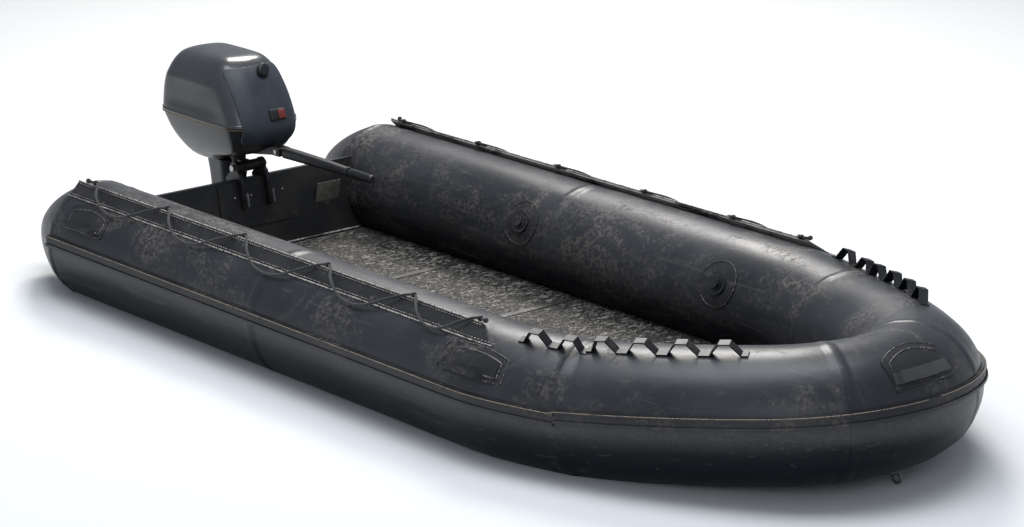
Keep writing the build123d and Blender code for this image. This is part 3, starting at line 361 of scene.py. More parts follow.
def flap_material():
    """Rubber strip whose inboard face is painted pale: dust, and painted light on a face that lies in shade.
    """
    look = Shader("flap_rubber", roughness=0.45)
    base = look.mottled(6.0, 5.0, (0.013, 0.013, 0.015), (0.030, 0.029, 0.030))
    inboard = look.facing_in(-0.05, -0.35)
    dust_and_light_patches = look.step(look.noise(9.0, 7.0, 0.7, (0.5, 1.0, 1.0), 0.8), 0.36, 0.56)
    scuffed = look.step(look.noise(34.0, 7.0, 0.72), 0.58, 0.70)
    dust_and_painted_light = look.math("MAXIMUM", look.times(dust_and_light_patches, inboard), look.times(scuffed, 0.22))
    # The pale on the inboard face is dust plus painted light; the small speckles on all faces are scuffs.
    look.colour(look.mix(dust_and_painted_light, base, (0.450, 0.420, 0.385)))
    look.roughness(look.blend(inboard, 0.42, 0.80))
    look.bump(look.noise(260.0, 3.0), 0.0005)
    return look.material


flap_look = flap_material()


def pale_speckled_edge(name, dark, pale, speckle_low, run_low):
    """A raised edge with pale speckles along some of its length: rubbed wear, and on the flap beads and the
    strake line painted highlight as well.
    """
    look = Shader(name, roughness=0.45)
    speckle = look.step(look.noise(130.0, 3.0, 0.6), speckle_low, speckle_low + 0.16)
    long_run = look.step(look.noise(5.0, 3.0, 0.6), run_low, run_low + 0.24)
    look.colour(look.mix(look.times(speckle, long_run), dark, pale))
    look.bump(look.noise(300.0, 2.0), 0.0005)
    return look.material


# Pale speckles: wear, and painted highlight on the flap beads.
bead_look = pale_speckled_edge("pale_speckled_edge", (0.045, 0.042, 0.041), (0.55, 0.50, 0.455), 0.38, 0.26)
# The strake line's pale is painted highlight with some wear.
line_look = pale_speckled_edge("highlight_and_wear_line", (0.050, 0.042, 0.037), (0.30, 0.235, 0.185), 0.34, 0.22)
outline_look = pale_speckled_edge("worn_outline", (0.022, 0.021, 0.021), (0.33, 0.30, 0.275), 0.46, 0.38)


def deck_material():
    """Dark boards with dried mud caked over most of them."""
    look = Shader("deck_grey", roughness=0.6)
    patches = look.step(look.noise(2.0, 5.0, 0.6), 0.3, 0.7)
    base = look.mix(patches, (0.018, 0.018, 0.018), (0.052, 0.049, 0.045))
    caked = look.step(look.noise(38.0, 8.0, 0.72, (1.7, 0.75, 1.0), 1.1), 0.47, 0.56)
    areas = look.step(look.noise(1.7, 5.0, 0.6, (1, 1, 1), 0.5), 0.28, 0.55)
    dirt = look.times(caked, areas)
    look.colour(look.mix(dirt, base, (0.300, 0.272, 0.238)))
    look.roughness(look.blend(dirt, 0.36, 0.92))
    look.bump(look.math("ADD", look.times(dirt, 2.0), look.noise(150.0, 5.0)), 0.003)
    return look.material


def board_paint():
    """Black paint on the transom, rubbed through in spots."""
    look = Shader("transom_paint", roughness=0.42)
    base = look.mottled(5.0, 5.0, (0.014, 0.014, 0.015), (0.030, 0.028, 0.026))
    rubbed = look.step(look.noise(20.0, 8.0, 0.7), 0.60, 0.72)
    look.colour(look.mix(rubbed, base, (0.085, 0.075, 0.065)))
    look.roughness(look.blend(rubbed, 0.4, 0.75))
    look.bump(look.noise(240.0, 3.0), 0.0005)
    return look.material


def motor_paint(name, dark, pale, gloss, coat):
    """Coated paint with grime that thickens towards the motor's foot."""
    look = Shader(name, roughness=gloss, coat=coat)
    base = look.mottled(3.0, 4.0, dark, pale)
    grime = look.step(look.noise(9.0, 7.0, 0.68, (1, 1, 1.6), 0.5), 0.56, 0.72)
    low = look.step(look.split.outputs["Z"], 0.75, 0.40)
    soiled = look.times(grime, look.math("ADD", look.times(low, 0.6), 0.25))
    look.colour(look.mix(soiled, base, (0.055, 0.046, 0.036)))
    look.roughness(look.blend(soiled, gloss, 0.6))
    look.bump(look.noise(300.0, 2.0), 0.00015)
    return look.material


def plain(name, dark, pale, wear, gloss, metallic=0.0):
    """Metal, plastic or paint of one colour, rubbed in small spots to the colour of its wear."""
    look = Shader(name, roughness=gloss, metallic=metallic)
    base = look.mottled(22.0, 5.0, dark, pale)
    rubbed = look.step(look.noise(45.0, 7.0, 0.7), 0.62, 0.74)
    look.colour(look.mix(rubbed, base, wear))
    look.roughness(look.blend(rubbed, gloss, gloss + 0.25))
    look.bump(look.noise(380.0, 2.0), 0.0003)
    return look.material


def woven(name, dark, pale, pitch):
    """Cord or webbing with slanting strands."""
    look = Shader(name, roughness=0.75, sheen=0.2)
    strands = look.wave(pitch, "DIAGONAL", 0.6)
    look.colour(look.mix(look.times(strands, look.noise(40.0, 4.0)), dark, pale))
    look.bump(strands, 0.0012)
    return look.material


cowl_look = motor_paint("cowl_paint", (0.040, 0.041, 0.044), (0.054, 0.055, 0.058), 0.26, 0.5)
tray_look = motor_paint("tray_paint", (0.018, 0.0185, 0.020), (0.027, 0.0275, 0.029), 0.38, 0.2)
leg_look = motor_paint("leg_paint", (0.020, 0.021, 0.023), (0.032, 0.033, 0.036), 0.40, 0.2)
panel_look = plain("panel_plastic", (0.028, 0.034, 0.045), (0.036, 0.043, 0.056), (0.06, 0.066, 0.08), 0.5)
black_look = plain("black_metal", (0.008, 0.008, 0.009), (0.017, 0.017, 0.018), (0.05, 0.047, 0.043), 0.42)
steel_look = plain("bare_steel", (0.30, 0.30, 0.29), (0.46, 0.45, 0.44), (0.20, 0.16, 0.12), 0.32, 1.0)
alloy_look = plain("bare_alloy", (0.10, 0.10, 0.098), (0.19, 0.185, 0.18), (0.30, 0.27, 0.24), 0.45, 0.8)
plate_look = plain("blank_plate", (0.10, 0.092, 0.078), (0.17, 0.155, 0.13), (0.24, 0.21, 0.17), 0.5, 0.2)
plastic_look = plain("black_plastic", (0.010, 0.010, 0.011), (0.018, 0.018, 0.019), (0.03, 0.03, 0.03), 0.45)
red_look = plain("red_plastic", (0.17, 0.020, 0.018), (0.22, 0.027, 0.024), (0.12, 0.03, 0.027), 0.45)
stripe_look = plain("stripe_paint", (0.13, 0.085, 0.035), (0.20, 0.13, 0.055), (0.08, 0.06, 0.04), 0.4)
grip_look = plain("grip_rubber", (0.012, 0.012, 0.012), (0.022, 0.022, 0.023), (0.32, 0.30, 0.28), 0.38)
rope_look = woven("rope_weave", (0.008, 0.008, 0.009), (0.045, 0.042, 0.04), 90.0)
webbing_look = woven("webbing_weave", (0.010, 0.010, 0.011), (0.05, 0.046, 0.042), 120.0)
deck_look = deck_material()
board_look = board_paint()

# Looks by material slot, and the nodes that have one of their own
LOOKS = {
    "tube_rubber": tube_look,
    "trim_rubber": trim_look,
    "webbing": webbing_look,
    "rope": rope_look,
    "deck_grey": deck_look,
    "bare_alloy": alloy_look,
    "motor_grey": leg_look,
    "black_metal": black_look,
    "bare_steel": steel_look,
    "black_plastic": plastic_look,
    "grip_rubber": grip_look,
}
OWN_LOOK = {
    "transom": board_look,
    "transom_pads": board_look,
    "upper_cowl": cowl_look,
    "lower_cowl": tray_look,
    "front_panel": panel_look,
    "rope_flap_starboard": flap_look,
    "rope_flap_port": flap_look,
    "lashing_strap_starboard": strap_look,
    "lashing_strap_port": strap_look,
    "carry_patches_starboard": patch_look,
    "carry_patches_port": patch_look,
    "bow_patch": patch_look,
}
for subpart in frame["record"]["subparts"]:
    node = NODES[subpart["node"]]
    look = OWN_LOOK.get(subpart["node"], LOOKS[subpart["material_slot"]])
    node.data.materials.clear()
    node.data.materials.append(look)

# Lifelines, on the route of the part's own rope, in millimetres: along the boat, then outboard of
# the tube's axis and above it
ROPE_ROUTE = (
    (-1874.0, 80.0, 283.0),
    (-1855.0, 71.0, 279.5),
    (-1807.0, 71.0, 279.5),
    (-1735.0, 142.0, 255.0),
    (-1640.0, 172.0, 211.0),
    (-1515.0, 176.0, 205.0),
    (-1400.0, 145.0, 251.0),
    (-1320.0, 71.0, 279.5),
    (-1272.0, 71.0, 279.5),
    (-1195.0, 144.0, 252.0),
    (-1085.0, 176.0, 206.0),
    (-960.0, 173.0, 210.0),
    (-850.0, 141.0, 256.0),
    (-777.0, 71.0, 279.5),
    (-729.0, 71.0, 279.5),
    (-650.0, 143.0, 254.0),
    (-545.0, 178.0, 203.0),
    (-410.0, 178.0, 203.0),
    (-300.0, 145.0, 251.0),
    (-223.0, 71.0, 279.5),
    (-175.0, 71.0, 279.5),
    (-100.0, 142.0, 255.0),
    (5.0, 175.0, 207.0),
    (130.0, 177.0, 204.0),
    (240.0, 144.0, 253.0),
    (313.0, 71.0, 279.5),
    (361.0, 71.0, 279.5),
    (425.0, 139.0, 257.0),
    (510.0, 166.0, 217.0),
    (600.0, 161.0, 223.0),
    (668.0, 130.0, 262.0),
    (707.0, 71.0, 279.5),
    (753.0, 71.0, 279.5),
    (772.0, 80.0, 283.0),
)
ROPE_R, KNOT_STRAND_R = 0.0055, 0.0042
KNOT_HALF, KNOT_HALF_WIDE, KNOT_TILTS = 0.0065, 0.0075, (0.5, -0.6, 1.6)


def rope_place(sign, x, out, up):
    return x / 1000, sign * (SIDE_Y + out / 1000), TUBE_Z + up / 1000


def knot_ring(centre, tilt):
    """A small loop of the knot, leaning by this much from the upright."""
    ring = []
    for step in range(13):
        turn = 2 * math.pi * step / 12
        ring.append(centre + Vector((
            KNOT_HALF * math.cos(turn) * math.sin(tilt),
            KNOT_HALF_WIDE * math.sin(turn),
            KNOT_HALF * math.cos(turn) * math.cos(tilt),
        )))
    return tube_along(ring, KNOT_STRAND_R, 7)


for side, sign in (("starboard", -1), ("port", 1)):
    curve = bpy.data.curves.new(f"rope_{side}", "CURVE")
    curve.dimensions = "3D"
    curve.bevel_depth = ROPE_R
    curve.bevel_resolution = 3
    curve.resolution_u = 8
    spline = curve.splines.new("NURBS")
    spline.points.add(len(ROPE_ROUTE) - 1)
    for point, place in zip(spline.points, ROPE_ROUTE):
        point.co = (*rope_place(sign, *place), 1.0)
    spline.order_u = 3
    spline.use_endpoint_u = True
    rope = bpy.data.objects.new(f"rope_{side}", curve)
    bpy.context.scene.collection.objects.link(rope)
    curve.materials.append(rope_look)
    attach(rope, "hull")
    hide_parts(f"lifeline_{side}")
    knots = []
    for place in (ROPE_ROUTE[0], ROPE_ROUTE[-1]):
        centre = Vector(rope_place(sign, *place))
        knots.extend(knot_ring(centre, tilt) for tilt in KNOT_TILTS)
    vertices, faces = joined(knots)
    knot = new_object(f"rope_knots_{side}", vertices, faces, rope_look)


# Air tubes. Lengths along their axis count from the start of the bow, and are negative behind it
SEAM_STATIONS = (("x", CONE_X), ("x", -0.480), ("turn", SEAM_TURN), ("turn", NOSE_TURN))
TAPE_HALF, TAPE_SLOPE, TAPE_RISE, TAPE_MARGIN = 0.017, 0.0025, 0.0016, 0.0002
PUCKER_REACH, PUCKER_RISE, SWELL_RISE = 0.085, 0.0011, 0.0008
BOW_BLEND = 0.12
SKIN_STEP, SHORTEST_STEP = 0.03, 0.0018
CONE_TIP_RINGS = ((0.93, 0.003), (0.72, 0.0045))
AROUND = 96


def arc_length_of(kind, value):
    """Length along the axis at an x or at a heading."""
    if kind == "x" and value <= BOW_START_X:
        return value - BOW_START_X
    turn = value if kind == "turn" else turn_at(value)
    total, heading = 0.0, 0.0
    for radius, arc_end in ARCS:
        stop = min(turn, arc_end)
        total += radius * rad(stop - heading)
        heading = stop
        if turn <= arc_end:
            break
    return total


def turn_at_length(length):
    heading, left = 0.0, max(0.0, length)
    for radius, arc_end in ARCS:
        span = radius * rad(arc_end - heading)
        if left <= span:
            return heading + math.degrees(left / radius)
        left -= span
        heading = arc_end
    return 90.0


def station_at(length):
    if length <= 0:
        return station(BOW_START_X + length)
    return station(None, turn_at_length(length))


SEAM_LENGTHS = [arc_length_of(kind, value) for kind, value in SEAM_STATIONS]
CONE_BASE_SEAM, _, BOW_SEAM, NOSE_SEAM = SEAM_LENGTHS
NOSE_LENGTH = arc_length_of("turn", 90.0)


def tape_height(length):
    height = 0.0
    for seam in SEAM_LENGTHS:
        share = (TAPE_HALF + TAPE_SLOPE - abs(length - seam)) / TAPE_SLOPE
        height = max(height, TAPE_RISE * min(1.0, max(0.0, share)))
    return height


def pucker(length, angle):
    """Soft creases that run off each seam and die away along the tube, and a slow swell."""
    total = 0.0
    for number, seam in enumerate(SEAM_LENGTHS):
        away = abs(length - seam)
        fade = math.exp(-((away / PUCKER_REACH) ** 2))
        total += fade * PUCKER_RISE * math.sin(angle * 17 + number * 1.7) * math.sin(angle * 5 + number)
    swell = SWELL_RISE * math.sin(length * 9.1 + angle * 3) * math.sin(angle * 4 + length * 3.3)
    return total + swell


def cone_radius(run):
    """Radius of the stern cone this far behind its base, on the source's arc through three points."""
    half_run, middle_r = CONE_LENGTH / 2, (TUBE_R + CONE_TIP_R) / 2 + CONE_CROWN
    base_far = TUBE_R**2
    middle_far = half_run**2 + middle_r**2
    tip_far = CONE_LENGTH**2 + CONE_TIP_R**2
    first_drop, whole_drop = TUBE_R - middle_r, TUBE_R - CONE_TIP_R
    divisor = 2 * (CONE_LENGTH * first_drop - half_run * whole_drop)
    last_drop = middle_r - CONE_TIP_R
    centre_run = (base_far * last_drop - middle_far * whole_drop + tip_far * first_drop) / divisor
    centre_r = (base_far * half_run - middle_far * CONE_LENGTH + tip_far * half_run) / divisor
    radius = math.hypot(centre_run, TUBE_R - centre_r)
    return centre_r + math.sqrt(max(0.0, radius**2 - (run - centre_run) ** 2))


def ring_of(length):
    """One ring of the skin, whose section leans gradually where the bow begins to rise."""
    base = TUBE_R
    if length < CONE_BASE_SEAM:
        base = cone_radius(CONE_BASE_SEAM - length)
    centre, along, out, up = station_at(length)
    if abs(length - BOW_SEAM) < BOW_BLEND:
        tilt = BOW_RISE * ((length - BOW_SEAM) / (2 * BOW_BLEND) + 0.5)
        heading = rad(turn_at_length(length))
        ahead = Vector((math.cos(tilt), 0, math.sin(tilt)))
        up = Vector((-math.sin(tilt), 0, math.cos(tilt)))
        along = ahead * math.cos(heading) + Vector((0, 1, 0)) * math.sin(heading)
        out = along.cross(up)
    ring = []
    for step in range(AROUND):
        angle = 2 * math.pi * step / AROUND
        reach = base + (tape_height(length) + pucker(length, angle)) * min(1.0, base / TUBE_R)
        ring.append(centre + (out * math.cos(angle) + up * math.sin(angle)) * reach)
    return ring


def skin_lengths(start, end):
    """Lengths of the rings: even ones, and one at each end of every tape's slopes."""
    marks = [start, end]
    value = start
    while value < end:
        marks.append(value)
        value += SKIN_STEP
    slope_foot, slope_top = TAPE_HALF + TAPE_SLOPE, TAPE_HALF + TAPE_MARGIN
    for seam in SEAM_LENGTHS:
        for offset in (-slope_foot, -slope_top, slope_top, slope_foot):
            if start < seam + offset < end:
                marks.append(seam + offset)
    marks = sorted(set(round(mark, 5) for mark in marks))
    kept = [marks[0]]
    for mark in marks[1:]:
        if mark - kept[-1] > SHORTEST_STEP:
            kept.append(mark)
    return kept


def skin(start, end, capped=False):
    lengths = skin_lengths(start, end)
    vertices = []
    for length in lengths:
        vertices.extend(ring_of(length))
    faces = grid_faces(len(lengths), AROUND)
    if capped:
        centre = station_at(lengths[0])[0]
        tip = vertices[:AROUND]
        previous = 0
        for scale, back in CONE_TIP_RINGS:
            base = len(vertices)
            vertices.extend(centre + (place - centre) * scale - Vector((back, 0, 0)) for place in tip)
            for step in range(AROUND):
                other = (step + 1) % AROUND
                faces.append((previous + step, previous + other, base + other, base + step))
            previous = base
        faces.append(tuple(range(previous, previous + AROUND)))
    return vertices, faces


CONE_END = CONE_X - CONE_LENGTH - BOW_START_X
vertices, faces = skin(CONE_END, NOSE_SEAM, True)
for piece, side in zip(pair_of("side_skin", vertices, faces, tube_look), ("starboard", "port")):
    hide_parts(f"stern_cone_{side}", f"aft_tube_{side}", f"fore_tube_{side}", f"bow_tube_{side}")
half_vertices = skin(NOSE_SEAM, NOSE_LENGTH)[0]
rings = len(half_vertices) // AROUND
nose_vertices = list(half_vertices)
for ring in reversed(range(rings - 1)):
    nose_vertices.extend(mirrored(half_vertices[ring * AROUND:(ring + 1) * AROUND]))
nose = new_object("nose_skin", nose_vertices, grid_faces(2 * rings - 1, AROUND), tube_look)
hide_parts("nose_tube")


# Beads and stitches at the edge and the foot of each rope flap, speckled pale: wear, and on the beads
# painted highlight as well
BEAD_STEP, BEAD_R = 0.03, 0.0030
STITCH_STEP, STITCH_HALF, STITCH_R = 0.016, 0.0045, 0.0016
STITCH_CROWN = Vector((0, -0.7, 0.7)) * 0.001


def off_axis(angle, lift):
    """How far outboard and up from the tube's axis a point over its skin is."""
    reach = TUBE_R + lift
    return reach * math.cos(rad(angle)), reach * math.sin(rad(angle))


def run_along(start_x, end_x, offset, spacing):
    """Points beside the starboard tube at one place of its section, evenly spaced."""
    points = []
    length = arc_length_of("x", start_x)
    end = arc_length_of("x", end_x)
    while length <= end:
        centre, along, outboard, upward = station_at(length)
        points.append((centre + outboard * offset[0] + upward * offset[1], along))
        length += spacing
    return points


def bead(start_x, end_x, offset):
    return tube_along([point for point, along in run_along(start_x, end_x, offset, BEAD_STEP)], BEAD_R)


def stitches(start_x, end_x, offset):
    """A row of short threads, each bowed a little off the cloth."""
    parts = []
    for point, along in run_along(start_x, end_x, offset, STITCH_STEP):
        half = along * STITCH_HALF
        bow = (point - half * 0.5 + STITCH_CROWN, point + half * 0.5 + STITCH_CROWN)
        parts.append(tube_along([point - half, *bow, point + half], STITCH_R, 5))
    return joined(parts)


# Pale beads: painted highlight with some wear.
vertices, faces = joined([
    bead(-1.941, 0.762, (0.0835, 0.2705)),
    bead(-1.941, 0.858, off_axis(57.2, 0.003)),
])
for piece in pair_of("flap_beads", vertices, faces, bead_look):
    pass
vertices, faces = joined([
    stitches(-1.935, 0.755, (0.0915, 0.2640)),
    stitches(-1.935, 0.85, off_axis(59.6, 0.0055)),
])
for piece in pair_of("flap_stitches", vertices, faces, bead_look):
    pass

# Pale line along the strake's upper rib, from the cone round to the stem: painted highlight, with some wear
STRAKE_LINE_ANGLE, STRAKE_LINE_LIFT, STRAKE_LINE_R = rad(12.1), 0.0160, 0.0018
strake_line = []
length = CONE_BASE_SEAM
while length < NOSE_LENGTH:
    centre, along, out, up = station_at(length)
    radial = out * math.cos(STRAKE_LINE_ANGLE) + up * math.sin(STRAKE_LINE_ANGLE)
    strake_line.append(centre + radial * (TUBE_R + STRAKE_LINE_LIFT))
    length += BEAD_STEP
vertices, faces = tube_along(strake_line, STRAKE_LINE_R, 6)
for piece in pair_of("strake_highlight_and_wear", vertices, faces, line_look):
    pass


# Outlines of the patches, and the rims of the valves' discs, at the places of the part's own
CARRY_XS, CARRY_ANGLE, CARRY_SHAPE = (-1.710, 0.805), 37.0, (0.282, 0.104, 0.032)
VALVE_XS, VALVE_ANGLE, VALVE_DISC_R = (-0.650, 0.563), 156.0, 0.097
BOW_PATCH_ANGLE, BOW_PATCH_SHAPE = 39.0, (0.300, 0.128, 0.052)
PATCH_LIFT, RIM_R, PANEL_RIM_R = 0.0036, 0.0022, 0.0034
RIM_INSET, CARRY_PANEL_INSET, BOW_PANEL_INSET = 0.004, 0.022, 0.024


def patch_loop(width, height, dome, inset):
    """Corners of a patch's outline, domed on top: along the tube, up round it."""
    half, low, top = width / 2 - inset, inset - height / 2, height / 2 - inset
    rise = dome - 0.4 * inset
    loop = [(half * (2 * step / 12 - 1), low) for step in range(13)]
    for step in range(25):
        share = 1 - 2 * step / 24
        loop.append((half * share, top + rise * (1 - share**2)))
    return loop + [loop[0]]


def disc_loop(radius):
    turns = [2 * math.pi * step / 40 for step in range(41)]
    return [(radius * math.cos(turn), radius * math.sin(turn)) for turn in turns]


def side_spot(x, angle, along, up, lift):
    return on_skin(x + along, angle + math.degrees(up / TUBE_R), lift)[0]


def stem_spot(angle, along, up, lift):
    """A point on the stem's skin, measured each way from the centreline."""
    reach = NOSE_R + TUBE_R * math.cos(rad(angle))
    turn = 90 - math.degrees(abs(along) / reach)
    point = on_skin(0, angle + math.degrees(up / TUBE_R), lift, turn)[0]
    return Vector((point[0], math.copysign(point[1], along), point[2]))


rims = []
for x in CARRY_XS:
    for inset, thick in ((RIM_INSET, RIM_R), (CARRY_PANEL_INSET, PANEL_RIM_R)):
        loop = patch_loop(*CARRY_SHAPE, inset)
        rims.append(tube_along([side_spot(x, CARRY_ANGLE, u, v, PATCH_LIFT) for u, v in loop], thick, 6))
for x in VALVE_XS:
    loop = disc_loop(VALVE_DISC_R)
    rims.append(tube_along([side_spot(x, VALVE_ANGLE, u, v, PATCH_LIFT) for u, v in loop], RIM_R, 6))
vertices, faces = joined(rims)
for piece in pair_of("patch_rims", vertices, faces, outline_look):
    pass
bow_rims = []
for inset, thick in ((RIM_INSET, RIM_R), (BOW_PANEL_INSET, PANEL_RIM_R)):
    loop = patch_loop(*BOW_PATCH_SHAPE, inset)
    bow_rims.append(tube_along([stem_spot(BOW_PATCH_ANGLE, u, v, PATCH_LIFT) for u, v in loop], thick, 6))
vertices, faces = joined(bow_rims)
new_object("bow_patch_rims", vertices, faces, outline_look)

# Cowls, from the foot up: height, front, back, width, corner radius and share of the side crease
COWL_LEVELS = (
    (0.425, -1.995, -2.210, 0.176, 0.070, 0.0),
    (0.462, -1.988, -2.246, 0.236, 0.085, 0.0),
    (0.474, -1.880, -2.257, 0.256, 0.095, 0.0),
    (0.503, -1.752, -2.283, 0.294, 0.108, 0.0),
    (0.535, -1.722, -2.308, 0.328, 0.118, 0.0),
    (0.585, -1.706, -2.333, 0.362, 0.126, 0.0),
    (0.628, -1.700, -2.350, 0.384, 0.131, 0.0),
    (0.640, -1.699, -2.352, 0.388, 0.132, 0.0),
    (0.648, -1.702, -2.352, 0.388, 0.132, 0.0),
    (0.668, -1.708, -2.352, 0.387, 0.132, 0.3),
    (0.690, -1.718, -2.350, 0.386, 0.131, 0.9),
    (0.740, -1.742, -2.346, 0.383, 0.130, 1.0),
    (0.785, -1.768, -2.336, 0.372, 0.127, 0.8),
    (0.800, -1.778, -2.330, 0.364, 0.126, 0.2),
    (0.830, -1.799, -2.315, 0.344, 0.120, 0.0),
    (0.860, -1.822, -2.296, 0.320, 0.112, 0.0),
    (0.884, -1.848, -2.276, 0.288, 0.101, 0.0),
    (0.900, -1.868, -2.258, 0.260, 0.092, 0.0),
    (0.912, -1.893, -2.236, 0.220, 0.078, 0.0),
    (0.918, -1.922, -2.206, 0.170, 0.060, 0.0),
)
TRAY_LEVELS, COVER_LEVELS = COWL_LEVELS[:7], COWL_LEVELS[8:]
WAIST = (-1.700, -2.352, 0.388, 0.132)
LIP_ROWS = ((0.626, -0.004), (0.630, 0.003), (0.648, 0.003), (0.652, -0.004))
STRIPE_ROWS = ((0.6275, 0.0035), (0.6325, 0.0035))
CREASE_DEPTH, CREASE_X, CREASE_HALF = 0.009, -2.06, 0.24
COWL_AROUND = 72


def cowl_ring(z, front, back, width, corner, crease):
    """One outline of the cowl: a rounded rectangle, pinched along its sides by the crease."""
    ring = []
    half_long, half_wide = (front - back) / 2 - corner, width / 2 - corner
    middle = (front + back) / 2
    for step in range(COWL_AROUND):
        turn = 2 * math.pi * (step + 0.5) / COWL_AROUND
        along, across = math.cos(turn), math.sin(turn)
        x = middle + math.copysign(half_long, along) * min(1.0, abs(along) * 3.0) + corner * along
        y = math.copysign(half_wide, across) * min(1.0, abs(across) * 1.6) + corner * across
        near = max(0.0, 1 - ((x - CREASE_X) / CREASE_HALF) ** 4)
        inward = crease * CREASE_DEPTH * near * min(1.0, abs(across) * 1.3)
        ring.append(Vector((x, y - math.copysign(inward, across), z)))
    return ring


def cowl_shell(levels, close_top=False, close_foot=False):
    vertices = []
    for level in levels:
        vertices.extend(cowl_ring(*level))
    faces = grid_faces(len(levels), COWL_AROUND)
    for wanted, base in ((close_foot, 0), (close_top, (len(levels) - 1) * COWL_AROUND)):
        if wanted:
            edge = vertices[base:base + COWL_AROUND]
            centre = sum(edge, Vector()) / COWL_AROUND
            inner = len(vertices)
            lift = Vector((0, 0, 0.004 if base else 0))
            vertices.extend(centre + (place - centre) * 0.55 + lift for place in edge)
            for step in range(COWL_AROUND):
                other = (step + 1) % COWL_AROUND
                faces.append((base + step, base + other, inner + other, inner + step))
            faces.append(tuple(range(inner, inner + COWL_AROUND)))
    return vertices, faces


def waist_band(rows):
    """A band round the cowl's waist, from heights and how far each stands out."""
    front, back, width, corner = WAIST
    return cowl_shell([
        (z, front + grow, back - grow, width + 2 * grow, corner + grow, 0.0) for z, grow in rows
    ])


vertices, faces = cowl_shell(TRAY_LEVELS, close_foot=True)
tray = new_object("cowl_tray", vertices, faces, tray_look, "motor")
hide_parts("lower_cowl")
vertices, faces = cowl_shell(COVER_LEVELS, close_top=True)
cover = new_object("cowl_cover", vertices, faces, cowl_look, "motor")
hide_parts("upper_cowl")
for shell in (tray, cover):
    smoother = shell.modifiers.new("smoother", "SUBSURF")
    smoother.levels = 1
    smoother.render_levels = 1
vertices, faces = waist_band(LIP_ROWS)
lip = new_object("cowl_lip", vertices, faces, cowl_look, "motor")
vertices, faces = waist_band(STRIPE_ROWS)
stripe = new_object("cowl_stripe", vertices, faces, stripe_look, "motor")


def rounded_box(centre, size, bevel, name, material, body, turn):
    """A box with rounded edges, turned about Y."""
    work = bmesh.new()
    bmesh.ops.create_cube(work, size=1.0)
    bmesh.ops.scale(work, vec=size, verts=work.verts)
    bmesh.ops.bevel(work, geom=work.edges[:], offset=bevel, segments=3, affect="EDGES", profile=0.5)
    mesh = bpy.data.meshes.new(name)
    work.to_mesh(mesh)
    work.free()
    cosine, sine = math.cos(turn), math.sin(turn)
    for vertex in mesh.vertices:
        x, y, z = vertex.co
        vertex.co = (centre[0] + x * cosine + z * sine, centre[1] + y, centre[2] - x * sine + z * cosine)
    piece = bpy.data.objects.new(name, mesh)
    bpy.context.scene.collection.objects.link(piece)
    mesh.materials.append(material)
    for polygon in mesh.polygons:
        polygon.use_smooth = True
    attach(piece, body)
    return piece


def turned(profile, origin, axis, around=32):
    """Turn a profile of distances along and away from an axis into a closed solid's surface."""
    axis = Vector(axis).normalized()
    side = axis.orthogonal().normalized()
    other = axis.cross(side)
    vertices = []
    for along, radius in profile:
        for step in range(around):
            turn = 2 * math.pi * step / around
            spoke = side * math.cos(turn) + other * math.sin(turn)
            vertices.append(Vector(origin) + axis * along + spoke * radius)
    faces = grid_faces(len(profile), around)
    faces.append(tuple(range(around)))
    faces.append(tuple((len(profile) - 1) * around + step for step in reversed(range(around))))
    return vertices, faces


# Starter knob and stop switch, on the leaning front panel
PANEL_LEAN = -0.39
KNOB_PLACE, KNOB_AXIS = (-1.812, 0.030, 0.862), (1.0, 0.0, 0.35)
KNOB_PROFILE = (
    (-0.030, 0.014),
    (0.000, 0.014),
    (0.001, 0.026),
    (0.005, 0.031),
    (0.016, 0.032),
    (0.022, 0.029),
    (0.025, 0.020),
)
SWITCH_PLACE, SWITCH_SIZE = (-1.7085, 0.033, 0.680), (0.018, 0.082, 0.050)
KEY_PLACE, KEY_SIZE = (-1.6995, 0.0525, 0.6825), (0.008, 0.036, 0.040)
vertices, faces = turned(KNOB_PROFILE, KNOB_PLACE, KNOB_AXIS)
knob = new_object("starter_knob", vertices, faces, plastic_look, "motor")
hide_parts("starter_handle")
block = rounded_box(SWITCH_PLACE, SWITCH_SIZE, 0.004, "switch_block", plastic_look, "motor", PANEL_LEAN)
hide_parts("stop_switch")
key = rounded_box(KEY_PLACE, KEY_SIZE, 0.003, "stop_key", red_look, "motor", PANEL_LEAN)

# Blank plate on the transom
RAKE, TRANSOM_TOP_X, TRANSOM_TOP_Z = rad(10.6), -1.871, 0.368
PLATE_SIZE = (0.003, 0.130, 0.168)


def on_transom(y, z, lift):
    """A point on the transom's raked forward face."""
    face_x = TRANSOM_TOP_X + (TRANSOM_TOP_Z - z) * math.tan(RAKE)
    return (face_x + lift * math.cos(RAKE), y, z + lift * math.sin(RAKE))


plate_place = on_transom(0.401, 0.205, 0.0015)
plate = rounded_box(plate_place, PLATE_SIZE, 0.0012, "blank_plate", plate_look, "hull", RAKE)

# Bonding bands where the transom meets the tubes, the seal at its foot and the bolts over the pad.
# A band's rows say how far ahead of the transom and how far over the tube's skin each one is
BAND_LOW, BAND_HIGH, BAND_STEPS = 112.0, 232.0, 40
BAND_ROWS = ((0.0005, 0.0018), (0.055, 0.0018), (0.0575, 0.0001))
band = []
for ahead, lift in BAND_ROWS:
    for step in range(BAND_STEPS + 1):
        angle = rad(BAND_LOW + (BAND_HIGH - BAND_LOW) * step / BAND_STEPS)
        y = -SIDE_Y - (TUBE_R + lift) * math.cos(angle)
        z = TUBE_Z + (TUBE_R + lift) * math.sin(angle)
        face_x = on_transom(y, min(z, TRANSOM_TOP_Z), 0.0)[0]
        band.append(Vector((face_x + ahead, y, z)))
band_faces = grid_faces(len(BAND_ROWS), BAND_STEPS + 1, False)
for piece in pair_of("transom_bands", band, band_faces, trim_look):
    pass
SEAL_HALF, SEAL_Z, SEAL_LIFT, SEAL_R = 0.570, 0.050, 0.004, 0.0045
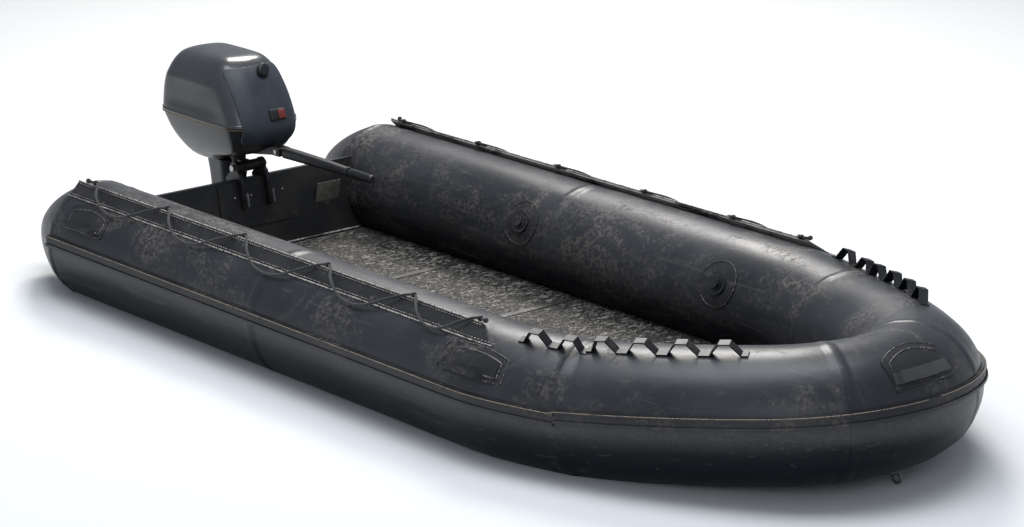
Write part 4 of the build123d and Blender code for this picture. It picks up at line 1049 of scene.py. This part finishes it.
seal_points = [
    Vector(on_transom(SEAL_HALF * (step / 20 - 1), SEAL_Z, SEAL_LIFT)) for step in range(41)
]
vertices, faces = tube_along(seal_points, SEAL_R)
new_object("transom_seal", vertices, faces, bead_look)
BOLT_YS, BOLT_Z, PAD_FACE = (-0.104, -0.017, 0.070, 0.156), 0.289, 0.0083
BOLT_PROFILE = ((0.0, 0.007), (0.003, 0.007), (0.005, 0.004))
bolt_axis = (math.cos(RAKE), 0, math.sin(RAKE))
vertices, faces = joined([
    turned(BOLT_PROFILE, on_transom(y, BOLT_Z, PAD_FACE), bolt_axis, 12) for y in BOLT_YS
])
new_object("pad_bolts", vertices, faces, steel_look)

# Floor, lights and world
FLOOR_HALF = 30
floor_corners = [(x * FLOOR_HALF, y * FLOOR_HALF, 0) for x, y in ((-1, -1), (1, -1), (1, 1), (-1, 1))]
floor_mesh = bpy.data.meshes.new("floor")
floor_mesh.from_pydata(floor_corners, [], [(0, 1, 2, 3)])
floor = bpy.data.objects.new("floor", floor_mesh)
bpy.context.scene.collection.objects.link(floor)
floor_look = Shader("floor_pale", roughness=0.9, specular=0.1)
floor_look.colour(floor_look.mix(floor_look.noise(0.8), (0.86, 0.86, 0.86), (0.88, 0.88, 0.88)))
floor_mesh.materials.append(floor_look.material)


def area_light(name, place, target, size, power, colour):
    light = bpy.data.lights.new(name, "AREA")
    light.shape = "RECTANGLE"
    light.size, light.size_y = size
    light.energy = power
    light.color = colour
    lamp = bpy.data.objects.new(name, light)
    bpy.context.scene.collection.objects.link(lamp)
    lamp.location = place
    lamp.rotation_euler = (Vector(target) - Vector(place)).to_track_quat("-Z", "Y").to_euler()


area_light("key", (-5.5, 4.5, 7.5), (0, 0, 0.2), (3.0, 3.0), 620, (1.0, 0.97, 0.93))
area_light("top", (0.5, -0.5, 7.0), (0, 0, 0), (6.0, 4.0), 380, (0.90, 0.95, 1.0))
area_light("fill", (7.0, -7.0, 4.0), (0, 0, 0.2), (6.0, 4.0), 100, (0.90, 0.94, 1.0))
world = bpy.data.worlds.new("studio")
bpy.context.scene.world = world
world.use_nodes = True
tree = world.node_tree
background = tree.nodes["Background"]
path = tree.nodes.new("ShaderNodeLightPath")
seen = tree.nodes.new("ShaderNodeBackground")
seen.inputs["Color"].default_value = (1, 1, 1, 1)
seen.inputs["Strength"].default_value = 1.0
background.inputs["Color"].default_value = (0.80, 0.88, 1.0, 1)
background.inputs["Strength"].default_value = 0.32
mixer = tree.nodes.new("ShaderNodeMixShader")
tree.links.new(path.outputs["Is Camera Ray"], mixer.inputs[0])
tree.links.new(background.outputs[0], mixer.inputs[1])
tree.links.new(seen.outputs[0], mixer.inputs[2])
tree.links.new(mixer.outputs[0], tree.nodes["World Output"].inputs["Surface"])
bpy.context.scene.view_settings.view_transform = "Standard"

bpy.context.view_layer.update()
